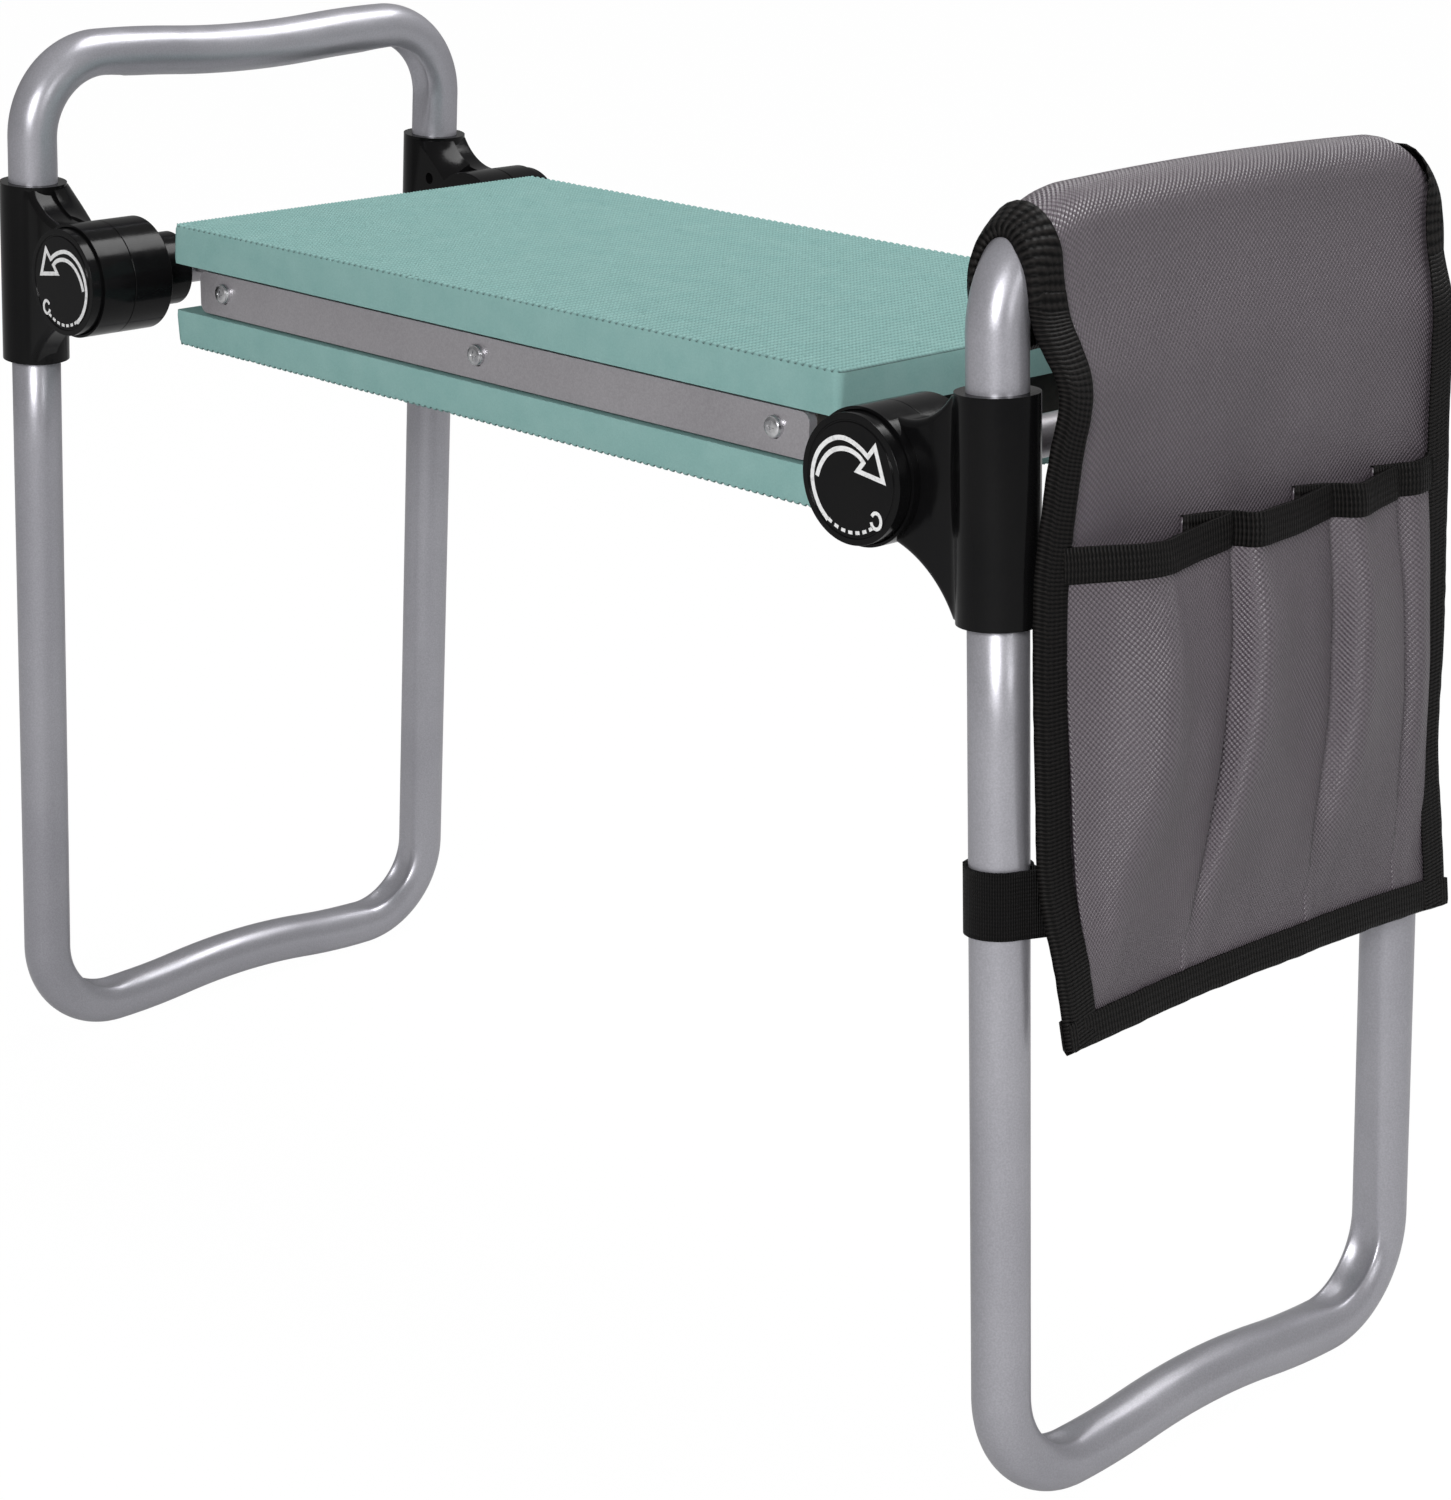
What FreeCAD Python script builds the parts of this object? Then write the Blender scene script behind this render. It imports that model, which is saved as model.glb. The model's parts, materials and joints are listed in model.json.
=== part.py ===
import FreeCAD, Part
import math
import os

import Sketcher
from FreeCAD import Placement, Rotation, Vector

# Garden kneeler seat. Origin on the floor under the middle of the seat, +Z up,
# X along the seat towards the tool pouch, Y from front to back, millimetres.

doc = FreeCAD.newDocument("garden_kneeler_seat")
sizes = doc.addObject("Spreadsheet::Sheet", "sizes")

# Driving sizes: name, value, what it is.
driving = [
    ("pivot_height", 386.0, "hinge axes above the floor"),
    ("pivot_spacing", 481.2, "between the two hinge axes"),
    ("splay_angle", 3.0, "outward lean of each leg frame, degrees"),
    ("tube_diameter", 22.0, "leg and handle tube"),
    ("tube_wall", 1.2, "leg and handle tube"),
    ("tube_offset", 50.8, "hinge axis to the plane of the tubes"),
    ("frame_width", 233.4, "between the leg centre lines"),
    ("handle_rise", 88.4, "hinge axis to the handle's centre line"),
    ("foot_drop", 378.0, "hinge axis to the foot's centre line"),
    ("handle_bend", 35.0, "centre line radius of the handle's corners"),
    ("foot_bend", 38.5, "centre line radius of the foot's corners"),
    ("handle_dip", 3.2, "sag of the handle in the middle"),
    ("foot_bow", 4.8, "rise of the foot in the middle"),
    ("dent_radius", 8.0, "round of the groove pressed into each bend"),
    ("dent_depth", 5.5, "groove pressed into the inside of each bend"),
    ("dent_sweep", 16.0, "how far along the bend the groove runs"),
    ("sleeve_wall", 3.9, "bracket round the tube"),
    ("lip", 1.5, "end of the sleeve past the web"),
    ("web_step", 1.0, "web behind the face of the boss"),
    ("web_top_x", 6.0, "where the web's upper edge leaves the boss"),
    ("web_top_z", 23.5, "where the web's upper edge leaves the boss"),
    ("web_low_x", 10.0, "where the web's lower edge leaves the boss"),
    ("web_low_z", 22.0, "where the web's lower edge leaves the boss"),
    ("web_top_round", 27.0, "hollow of the web's upper edge"),
    ("web_low_round", 46.0, "hollow of the web's lower edge"),
    ("cheek_edge", 22.5, "hinge axis to the cheek on the bracket's seat side"),
    ("cheek_gap", 2.0, "cheek clear of the hub"),
    ("cheek_drop", 26.0, "cheek below the hinge axis"),
    ("web_sink", 3.5, "front of the bracket web behind the boss"),
    ("web_round", 3.0, "long edges of the bracket web"),
    ("flank_round", 8.0, "bracket web into its sleeve"),
    ("well_width", 6.5, "screw wells in the cheek"),
    ("well_reach", 31.0, "hinge axis to the screw wells"),
    ("well_rise", 21.5, "screw wells above and below the hinge axis"),
    ("well_length", 7.0, "screw wells"),
    ("sleeve_fit", 0.1, "bracket bore over the tube, on the radius"),
    ("sleeve_up", 34.0, "bracket above the hinge axis"),
    ("sleeve_down", 47.0, "bracket below the hinge axis"),
    ("tube_split", 6.0, "joint of the two tubes below the hinge axis"),
    ("spigot_length", 64.0, "sleeve inside the joint of the two tubes"),
    ("spigot_wall", 1.5, "sleeve inside the joint of the two tubes"),
    ("seam_inset", 1.7, "seam between hub and bracket inside the leg centre lines"),
    ("running_gap", 0.3, "between parts that turn against each other"),
    ("hub_diameter", 50.0, "round of hub and bracket boss"),
    ("hub_length", 20.0, "wide part of the hub"),
    ("neck_diameter", 32.5, "narrow part of the hub"),
    ("neck_length", 17.0, "narrow part of the hub"),
    ("boss_length", 16.0, "bracket boss"),
    ("hub_floor", 5.0, "wall between the hub's socket and its neck"),
    ("socket_depth", 4.0, "toothed socket in the bracket"),
    ("socket_floor", 3.5, "wall between socket and button well"),
    ("spline_root", 17.0, "lock gear between its teeth"),
    ("spline_tip", 20.0, "lock gear over its teeth"),
    ("tooth_width", 4.4, "lock gear tooth"),
    ("spline_fit", 0.3, "round the lock gear"),
    ("gear_length", 8.4, "lock gear"),
    ("gear_play", 0.1, "released lock gear behind the seam"),
    ("seat_fit", 0.1, "between parts that rest on each other"),
    ("gear_bore", 12.0, "lock gear over the spring and bolt"),
    ("button_diameter", 47.0, "push button"),
    ("button_proud", 5.5, "push button out of its boss"),
    ("button_length", 7.5, "push button rim"),
    ("button_wall", 2.3, "push button shell"),
    ("button_travel", 6.0, "push button stroke"),
    ("button_fit", 0.4, "push button in its well, on the radius"),
    ("rim_width", 2.4, "flat rim round the face of the button"),
    ("rim_groove", 0.8, "groove inside the rim of the button"),
    ("groove_depth", 0.5, "groove inside the rim of the button"),
    ("peg_diameter", 4.4, "legs of the button that reach the gear"),
    ("peg_circle", 26.0, "circle of the button's legs"),
    ("bolt_diameter", 8.0, "hinge bolt"),
    ("bolt_fit", 0.05, "hinge bolt in the bracket, on the radius"),
    ("bolt_head", 13.0, "hinge bolt head"),
    ("bolt_head_length", 3.6, "hinge bolt head"),
    ("nut_width", 13.0, "hinge nut across its flats"),
    ("nut_length", 6.0, "hinge nut"),
    ("cross_diameter", 16.0, "tube that joins the hubs of one end"),
    ("cross_wall", 1.5, "tube that joins the hubs of one end"),
    ("cross_entry", 8.0, "cross tube into each neck"),
    ("wire_width", 1.2, "lock spring, square wire"),
    ("spring_diameter", 15.0, "lock spring, centre line"),
    ("spring_turns", 2.5, "lock spring"),
    ("pad_length", 404.0, "foam pads"),
    ("pad_width", 207.0, "foam pads"),
    ("top_pad_thickness", 17.5, "foam pad for sitting"),
    ("lower_pad_thickness", 15.5, "foam pad for kneeling"),
    ("pad_round", 2.5, "corners and edges of the pads"),
    ("board_thickness", 20.5, "seat board between the pads"),
    ("board_end_gap", 16.0, "board and rails end inside the ends of the pads"),
    ("board_inset", 6.0, "board behind the front and back of the pads"),
    ("rail_height", 15.5, "side rail"),
    ("rail_recess", 1.8, "rail behind the edge of the pads"),
    ("rail_wall", 1.5, "side rail channel"),
    ("rail_round", 4.0, "corners of the side rail"),
    ("rail_rise", 1.3, "rail above the middle of the board"),
    ("screw_inset", 17.4, "outer rail screws from the ends of the rail"),
    ("screw_head", 8.0, "rail screw"),
    ("screw_head_length", 2.2, "rail screw"),
    ("screw_shank", 4.0, "rail screw"),
    ("screw_length", 18.0, "rail screw under its head"),
    ("arm_width", 30.0, "bars from the cross tube to the board"),
    ("arm_thickness", 4.0, "bars from the cross tube to the board"),
    ("arm_reach", 36.0, "bars inside the board"),
    ("arm_spacing", 110.0, "between the two bars of one end"),
    ("slot_fit", 0.2, "round the bars in the board"),
    ("pouch_overhang", 1.3, "tool pouch past the leg centre lines"),
    ("pouch_cloth", 2.0, "tool pouch panel"),
    ("pouch_gap", 0.4, "pouch clear of the frame"),
    ("pouch_drop", 206.0, "hinge axis to the pouch's lower edge"),
    ("flap_drop", 45.0, "inner flap below the handle's centre line"),
    ("pocket_side", 10.0, "outer pocket seams in from the sides of the pouch"),
    ("pocket_width_2", 53.0, "pockets from seam to seam; the first takes the rest"),
    ("pocket_width_3", 39.0, "pockets from seam to seam"),
    ("pocket_width_4", 33.0, "pockets from seam to seam"),
    ("pocket_bulge_1", 15.0, "front of each pocket out from its seams"),
    ("pocket_bulge_2", 15.0, "front of each pocket out from its seams"),
    ("pocket_bulge_3", 13.0, "front of each pocket out from its seams"),
    ("pocket_bulge_4", 10.0, "front of each pocket out from its seams"),
    ("pocket_cloth", 1.5, "pocket front"),
    ("pocket_top", 22.0, "pocket mouths below the hinge axis"),
    ("webbing_width", 12.0, "black edge webbing"),
    ("strap_width", 24.0, "straps round the legs"),
    ("strap_tab", 9.0, "strap where it is sewn to the panel"),
    ("strap_thickness", 1.8, "straps round the legs"),
    ("strap_drop", 147.0, "hinge axis to the straps"),
]

for row, (alias, value, note) in enumerate(driving, start=1):
    sizes.set("A%d" % row, alias)
    sizes.set("B%d" % row, str(value))
    sizes.setAlias("B%d" % row, alias)
    sizes.set("C%d" % row, note)

# Places worked out from the driving sizes.
layout = doc.addObject("App::VarSet", "layout")
places = {
    "pivot_x": "sizes.pivot_spacing / 2",
    "leg_y": "sizes.frame_width / 2",
    "tube_radius": "sizes.tube_diameter / 2",
    "bore_radius": "sizes.tube_diameter / 2 - sizes.tube_wall",
    "split_high": "-sizes.tube_split + sizes.seat_fit / 2",
    "handle_bend_top": "sizes.handle_rise - sizes.handle_bend",
    "handle_flat": "sizes.frame_width / 2 - sizes.handle_bend",
    "handle_leg": "sizes.handle_rise - sizes.handle_bend + sizes.tube_split"
                  " - sizes.seat_fit / 2",
    "handle_swing": "((sizes.frame_width / 2 - sizes.handle_bend) ^ 2"
                    " + sizes.handle_dip ^ 2) / (4 * sizes.handle_dip)",
    "handle_wave": "sizes.handle_rise - ((sizes.frame_width / 2 - sizes.handle_bend) ^ 2"
                   " + sizes.handle_dip ^ 2) / (4 * sizes.handle_dip)",
    "handle_middle": "sizes.handle_rise - sizes.handle_dip"
                     " + ((sizes.frame_width / 2 - sizes.handle_bend) ^ 2"
                     " + sizes.handle_dip ^ 2) / (4 * sizes.handle_dip)",
    "handle_angle": "2 * atan(sizes.handle_dip / (sizes.frame_width / 2"
                    " - sizes.handle_bend)) / 1deg",
    "handle_angles": "4 * atan(sizes.handle_dip / (sizes.frame_width / 2"
                     " - sizes.handle_bend)) / 1deg",
    "quarter": "90",
    "foot_bend_top": "sizes.foot_bend - sizes.foot_drop",
    "foot_flat": "sizes.frame_width / 2 - sizes.foot_bend",
    "foot_leg": "sizes.foot_drop - sizes.foot_bend - sizes.tube_split - sizes.seat_fit / 2",
    "foot_swing": "((sizes.frame_width / 2 - sizes.foot_bend) ^ 2"
                  " + sizes.foot_bow ^ 2) / (4 * sizes.foot_bow)",
    "foot_wave": "((sizes.frame_width / 2 - sizes.foot_bend) ^ 2"
                 " + sizes.foot_bow ^ 2) / (4 * sizes.foot_bow) - sizes.foot_drop",
    "foot_middle": "sizes.foot_bow - sizes.foot_drop"
                   " - ((sizes.frame_width / 2 - sizes.foot_bend) ^ 2"
                   " + sizes.foot_bow ^ 2) / (4 * sizes.foot_bow)",
    "foot_angle": "2 * atan(sizes.foot_bow / (sizes.frame_width / 2"
                  " - sizes.foot_bend)) / 1deg",
    "foot_angles": "4 * atan(sizes.foot_bow / (sizes.frame_width / 2"
                   " - sizes.foot_bend)) / 1deg",
    "sleeve_radius": "sizes.tube_diameter / 2 + sizes.sleeve_fit + sizes.sleeve_wall",
    "sleeve_bore": "sizes.tube_diameter / 2 + sizes.sleeve_fit",
    "sleeve_length": "sizes.sleeve_up + sizes.sleeve_down",
    "hub_radius": "sizes.hub_diameter / 2",
    "neck_radius": "sizes.neck_diameter / 2",
    "seam_y": "sizes.frame_width / 2 - sizes.seam_inset",
    "hub_face": "sizes.frame_width / 2 - sizes.seam_inset - sizes.running_gap",
    "hub_inner": "sizes.frame_width / 2 - sizes.seam_inset - sizes.hub_length",
    "neck_inner": "sizes.frame_width / 2 - sizes.seam_inset - sizes.hub_length - sizes.neck_length",
    "hub_solid": "sizes.hub_length - sizes.running_gap",
    "hub_pit": "sizes.hub_length - sizes.running_gap - sizes.hub_floor",
    "boss_face": "sizes.frame_width / 2 - sizes.seam_inset + sizes.boss_length",
    "well_depth": "sizes.boss_length - sizes.socket_depth - sizes.socket_floor",
    "well_radius": "sizes.button_diameter / 2 + sizes.button_fit",
    "socket_root": "sizes.spline_root + sizes.spline_fit",
    "socket_tip": "sizes.spline_tip + sizes.spline_fit",
    "socket_tooth": "sizes.tooth_width / 2 + sizes.spline_fit",
    "gear_tooth": "sizes.tooth_width / 2",
    "gear_face": "sizes.frame_width / 2 - sizes.seam_inset - sizes.running_gap - sizes.gear_play",
    "gear_bore_radius": "sizes.gear_bore / 2",
    "web_floor": "sizes.frame_width / 2 - sizes.seam_inset + sizes.socket_depth + sizes.socket_floor",
    "bolt_radius": "sizes.bolt_diameter / 2",
    "bolt_hole": "sizes.bolt_diameter / 2 + sizes.bolt_fit",
    "peg_radius": "sizes.peg_diameter / 2",
    "peg_hole": "sizes.peg_diameter / 2 + sizes.button_fit",
    "peg_place": "sizes.peg_circle / 2",
    "button_face": "sizes.frame_width / 2 - sizes.seam_inset + sizes.boss_length + sizes.button_proud",
    "button_radius": "sizes.button_diameter / 2",
    "button_inner": "sizes.button_diameter / 2 - sizes.button_wall",
    "button_open": "sizes.button_length - sizes.button_wall",
    "button_rear": "sizes.frame_width / 2 - sizes.seam_inset + sizes.boss_length + sizes.button_proud"
                   " - sizes.button_length",
    "peg_end": "sizes.frame_width / 2 - sizes.seam_inset - sizes.gear_play + sizes.button_travel",
    "cross_radius": "sizes.cross_diameter / 2",
    "cross_bore": "sizes.cross_diameter / 2 - sizes.cross_wall",
    "neck_bore": "sizes.cross_diameter / 2 + sizes.sleeve_fit",
    "cross_end": "sizes.frame_width / 2 - sizes.seam_inset - sizes.hub_length - sizes.neck_length"
                 " + sizes.cross_entry",
    "cross_length": "2 * (sizes.frame_width / 2 - sizes.seam_inset - sizes.hub_length - sizes.neck_length"
                    " + sizes.cross_entry)",
    "gear_back": "sizes.frame_width / 2 - sizes.seam_inset - sizes.running_gap - sizes.gear_play - sizes.gear_length",
    "spring_foot": "sizes.frame_width / 2 - sizes.seam_inset - sizes.hub_length + sizes.hub_floor + sizes.seat_fit",
    "spring_top": "sizes.frame_width / 2 - sizes.seam_inset - sizes.hub_length + sizes.hub_floor + sizes.seat_fit"
                  " + sizes.wire_width",
    "spring_height": "sizes.hub_length - sizes.hub_floor - sizes.running_gap - sizes.gear_play"
                     " - sizes.gear_length - sizes.wire_width - 2 * sizes.seat_fit",
    "spring_pitch": "(sizes.hub_length - sizes.hub_floor - sizes.running_gap"
                    " - sizes.gear_play - sizes.gear_length - sizes.wire_width"
                    " - 2 * sizes.seat_fit) / sizes.spring_turns",
    "spring_in": "sizes.spring_diameter / 2 - sizes.wire_width / 2",
    "spring_out": "sizes.spring_diameter / 2 + sizes.wire_width / 2",
    "head_seat": "sizes.frame_width / 2 - sizes.seam_inset + sizes.socket_depth + sizes.socket_floor + sizes.seat_fit",
    "head_radius": "sizes.bolt_head / 2",
    "bolt_length": "sizes.socket_depth + sizes.socket_floor + sizes.hub_length"
                   " - sizes.hub_floor + sizes.hub_floor + sizes.nut_length"
                   " + 2 * sizes.seat_fit",
    "nut_base": "sizes.frame_width / 2 - sizes.seam_inset - sizes.hub_length - sizes.nut_length - sizes.seat_fit",
    "nut_point": "sizes.nut_width / sqrt(3)",
    "nut_low": "sizes.nut_width / sqrt(3) / 2",
    "nut_flat": "sizes.nut_width / 2",
    "peg_length": "sizes.boss_length + sizes.button_proud - sizes.button_wall"
                  " + sizes.gear_play - sizes.button_travel",
    "groove_inner": "sizes.button_diameter / 2 - sizes.rim_width - sizes.rim_groove",
    "groove_outer": "sizes.button_diameter / 2 - sizes.rim_width",
    "web_back": "sizes.frame_width / 2 - sizes.seam_inset + sizes.web_step",
    "web_thickness": "sizes.boss_length - sizes.web_step - sizes.web_sink",
    "web_face": "sizes.frame_width / 2 - sizes.seam_inset + sizes.boss_length - sizes.web_sink",
    "web_high": "sizes.sleeve_up - sizes.lip",
    "web_low": "sizes.lip - sizes.sleeve_down",
    "web_right": "sizes.tube_offset - sizes.tube_diameter / 2 - sizes.sleeve_fit"
                 " - sizes.sleeve_wall / 2",
    "cheek_face": "sizes.frame_width / 2 - sizes.tube_diameter / 2 - sizes.sleeve_fit"
                  " - sizes.sleeve_wall",
    "cheek_length": "sizes.frame_width / 2 - sizes.seam_inset + sizes.web_step - sizes.frame_width / 2"
                    " + sizes.tube_diameter / 2 + sizes.sleeve_fit + sizes.sleeve_wall",
    "cheek_round": "sizes.hub_diameter / 2 + sizes.cheek_gap",
    "cheek_turn": "sqrt((sizes.hub_diameter / 2 + sizes.cheek_gap) ^ 2 - sizes.cheek_edge ^ 2)",
    "well_end": "sizes.well_width / 2",
    "sleeve_base": "-sizes.sleeve_down",
    "handle_dent_y": "sizes.frame_width / 2 - sizes.handle_bend + (sizes.handle_bend"
                     " - sizes.tube_diameter / 2 - sizes.dent_radius + sizes.dent_depth"
                     " - sizes.dent_sweep) * sqrt(0.5)",
    "handle_dent_z": "sizes.handle_rise - sizes.handle_bend + (sizes.handle_bend"
                     " - sizes.tube_diameter / 2 - sizes.dent_radius + sizes.dent_depth"
                     " - sizes.dent_sweep) * sqrt(0.5)",
    "foot_dent_y": "sizes.frame_width / 2 - sizes.foot_bend + (sizes.foot_bend"
                   " - sizes.tube_diameter / 2 - sizes.dent_radius + sizes.dent_depth"
                   " - sizes.dent_sweep) * sqrt(0.5)",
    "foot_dent_z": "sizes.foot_bend - sizes.foot_drop - (sizes.foot_bend"
                   " - sizes.tube_diameter / 2 - sizes.dent_radius + sizes.dent_depth"
                   " - sizes.dent_sweep) * sqrt(0.5)",
    "dent_outer": "sizes.dent_radius + sizes.tube_wall",
    "spigot_radius": "sizes.tube_diameter / 2 - sizes.tube_wall - sizes.sleeve_fit",
    "spigot_bore": "sizes.tube_diameter / 2 - sizes.tube_wall - sizes.sleeve_fit"
                   " - sizes.spigot_wall",
    "spigot_base": "-sizes.tube_split - sizes.spigot_length / 2",
    "board_low": "-sizes.board_thickness / 2",
    "board_high": "sizes.board_thickness / 2",
    "board_end": "sizes.pad_length / 2 - sizes.board_end_gap",
    "board_front": "sizes.pad_width / 2 - sizes.board_inset",
    "pad_end": "sizes.pad_length / 2",
    "pad_front": "sizes.pad_width / 2",
    "pad_end_flat": "sizes.pad_length / 2 - sizes.pad_round",
    "pad_front_flat": "sizes.pad_width / 2 - sizes.pad_round",
    "lower_pad_base": "-sizes.board_thickness / 2 - sizes.lower_pad_thickness",
    "arm_in": "sizes.arm_spacing / 2 - sizes.arm_width / 2 - sizes.slot_fit",
    "arm_out": "sizes.arm_spacing / 2 + sizes.arm_width / 2 + sizes.slot_fit",
    "slot_half": "sizes.arm_thickness / 2 + sizes.slot_fit",
    "slot_depth": "sizes.arm_reach + sizes.slot_fit",
    "arm_start": "sizes.pad_length / 2 - sizes.board_end_gap - sizes.arm_reach",
    "arm_side": "sizes.arm_spacing / 2 - sizes.arm_width / 2",
    "arm_far_side": "sizes.arm_spacing / 2 + sizes.arm_width / 2",
    "arm_saddle": "sizes.cross_diameter / 2 + sizes.bolt_fit",
    "rail_height_place": "sizes.pivot_height + sizes.rail_rise",
    "tab_back": "sizes.frame_width / 2 - sizes.strap_tab / 2",
    "arm_base": "sizes.pivot_height - sizes.arm_thickness / 2",
    "arm_length": "sizes.pivot_spacing / 2 - sizes.pad_length / 2 + sizes.board_end_gap"
                  " + sizes.arm_reach",
    "rail_end": "sizes.pad_length / 2 - sizes.board_end_gap",
    "screw_spacing": "sizes.pad_length / 2 - sizes.board_end_gap - sizes.screw_inset",
    "rail_half": "sizes.rail_height / 2",
    "rail_end_flat": "sizes.pad_length / 2 - sizes.board_end_gap - sizes.rail_round",
    "rail_flat": "sizes.rail_height / 2 - sizes.rail_round",
    "rail_depth": "sizes.board_inset - sizes.rail_recess",
    "rail_face": "sizes.pad_width / 2 - sizes.rail_recess",
    "rail_hollow": "sizes.board_inset - sizes.rail_recess - sizes.rail_wall",
    "rail_in": "sizes.pad_length / 2 - sizes.board_end_gap - sizes.rail_wall",
    "rail_half_in": "sizes.rail_height / 2 - sizes.rail_wall",
    "rail_hole": "sizes.screw_shank / 2 + sizes.slot_fit",
    "screw_radius": "sizes.screw_shank / 2",
    "pilot_radius": "sizes.screw_shank / 2 + sizes.bolt_fit",
    "screw_head_radius": "sizes.screw_head / 2",
    "arch_in": "sizes.tube_diameter / 2 + sizes.pouch_gap",
    "arch_out": "sizes.tube_diameter / 2 + sizes.pouch_gap + sizes.pouch_cloth",
    "arch_left": "sizes.tube_offset - sizes.tube_diameter / 2 - sizes.pouch_gap",
    "arch_far_left": "sizes.tube_offset - sizes.tube_diameter / 2 - sizes.pouch_gap"
                     " - sizes.pouch_cloth",
    "arch_right": "sizes.tube_offset + sizes.tube_diameter / 2 + sizes.pouch_gap",
    "arch_far_right": "sizes.tube_offset + sizes.tube_diameter / 2 + sizes.pouch_gap"
                      " + sizes.pouch_cloth",
    "flap_end": "sizes.handle_rise - sizes.flap_drop",
    "panel_in": "sizes.tube_offset + sizes.tube_diameter / 2 + sizes.sleeve_fit"
                " + sizes.sleeve_wall + sizes.pouch_gap",
    "panel_out": "sizes.tube_offset + sizes.tube_diameter / 2 + sizes.sleeve_fit"
                 " + sizes.sleeve_wall + sizes.pouch_gap + sizes.pouch_cloth",
    "panel_knee": "sizes.sleeve_up + 2 * sizes.pouch_cloth",
    "panel_end": "-sizes.pouch_drop",
    "pouch_side": "sizes.frame_width / 2 + sizes.pouch_overhang",
    "pouch_width": "sizes.frame_width + 2 * sizes.pouch_overhang",
    "pocket_back": "sizes.tube_offset + sizes.tube_diameter / 2 + sizes.sleeve_fit"
                   " + sizes.sleeve_wall + sizes.pouch_gap + sizes.pouch_cloth"
                   " + sizes.seat_fit",
    "pocket_seam": "sizes.tube_offset + sizes.tube_diameter / 2 + sizes.sleeve_fit"
                   " + sizes.sleeve_wall + sizes.pouch_gap + sizes.pouch_cloth"
                   " + sizes.seat_fit + sizes.pocket_cloth",
    "pocket_mouth": "-sizes.pocket_top",
    "pocket_height": "sizes.pouch_drop - sizes.pocket_top - sizes.webbing_width",
    "pocket_inside": "sizes.pouch_drop - sizes.pocket_top - sizes.webbing_width"
                     " - sizes.pocket_cloth",
    "pocket_base": "sizes.webbing_width - sizes.pouch_drop",
    "strap_low": "-sizes.strap_drop - sizes.strap_width / 2",
    "strap_in": "sizes.tube_diameter / 2 + sizes.seat_fit",
    "strap_out": "sizes.tube_diameter / 2 + sizes.seat_fit + sizes.strap_thickness",
    "tab_start": "sizes.tube_offset + sizes.tube_diameter / 2 + sizes.seat_fit"
                 " + sizes.strap_thickness / 2",
    "tab_length": "sizes.sleeve_fit + sizes.sleeve_wall + sizes.pouch_gap"
                  " - 2 * sizes.seat_fit - sizes.strap_thickness / 2",
    "tab_side": "-sizes.frame_width / 2 - sizes.strap_tab / 2",
}
pocket_side = "sizes.frame_width / 2 + sizes.pouch_overhang - sizes.pocket_side"
seam_rules = [
    "-(" + pocket_side + ")",
    pocket_side + " - sizes.pocket_width_4 - sizes.pocket_width_3 - sizes.pocket_width_2",
    pocket_side + " - sizes.pocket_width_4 - sizes.pocket_width_3",
    pocket_side + " - sizes.pocket_width_4",
    pocket_side,
]
pocket_seams = ["pocket_seam_%d" % (i + 1) for i in range(len(seam_rules))]
places.update(zip(pocket_seams, seam_rules))
for i in range(len(seam_rules) - 1):
    left, right = "(%s)" % seam_rules[i], "(%s)" % seam_rules[i + 1]
    bulge = "sizes.pocket_bulge_%d" % (i + 1)
    chord = "(%s - %s)" % (right, left)
    inner = "(%s - %s - 2 * sizes.pocket_cloth)" % (right, left)
    places["pocket_round_%d" % (i + 1)] = "(%s ^ 2 / 4 + %s ^ 2) / (2 * %s)" % (chord, bulge, bulge)
    places["pocket_hollow_%d" % (i + 1)] = "(%s ^ 2 / 4 + %s ^ 2) / (2 * %s)" % (inner, bulge, bulge)
    places["pocket_from_%d" % (i + 1)] = left + " + sizes.pocket_cloth"
    places["pocket_to_%d" % (i + 1)] = right + " - sizes.pocket_cloth"
for name, rule in places.items():
    layout.addProperty("App::PropertyFloat", name, "Layout")
    layout.setExpression(name, rule)
doc.recompute()


def unsigned(term):
    return term[1:] if term.startswith("-") else term


def number(term):
    if term == "0":
        return 0.0
    holder = layout if unsigned(term) in places else sizes
    value = float(getattr(holder, unsigned(term)))
    return -value if term.startswith("-") else value


def rule(term):
    holder = "layout." if unsigned(term) in places else "sizes."
    return ("-" if term.startswith("-") else "") + holder + unsigned(term)


def bind(thing, prop, term):
    thing.setExpression(prop, rule(term))


def new_body(label):
    body = doc.addObject("PartDesign::Body", label)
    body.Label = label
    return body


def new_sketch(body, name, role, offset="0"):
    sketch = body.newObject("Sketcher::SketchObject", name)
    plane = [f for f in body.Origin.OriginFeatures if f.Role == role][0]
    sketch.AttachmentSupport = (plane, [""])
    sketch.MapMode = "FlatFace"
    if offset != "0":
        sketch.AttachmentOffset = Placement(Vector(0, 0, number(offset)), Rotation())
        bind(sketch, "AttachmentOffset.Base.z", offset)
    return sketch


def fix_size(sketch, kind, geometry, point, term):
    index = sketch.addConstraint(Sketcher.Constraint(kind, geometry, point, number(term)))
    bind(sketch, "Constraints[%d]" % index, term)


def pin(sketch, geometry, point, place):
    # Ties one point of the sketch to its place from the sketch's origin.
    for kind, axis, term in zip(("DistanceX", "DistanceY"), (-2, -1), place):
        if term == "0":
            sketch.addConstraint(Sketcher.Constraint("PointOnObject", geometry, point, axis))
        else:
            fix_size(sketch, kind, geometry, point, term)


def fix_radius(sketch, geometry, term):
    index = sketch.addConstraint(Sketcher.Constraint("Radius", geometry, number(term)))
    bind(sketch, "Constraints[%d]" % index, term)


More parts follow.
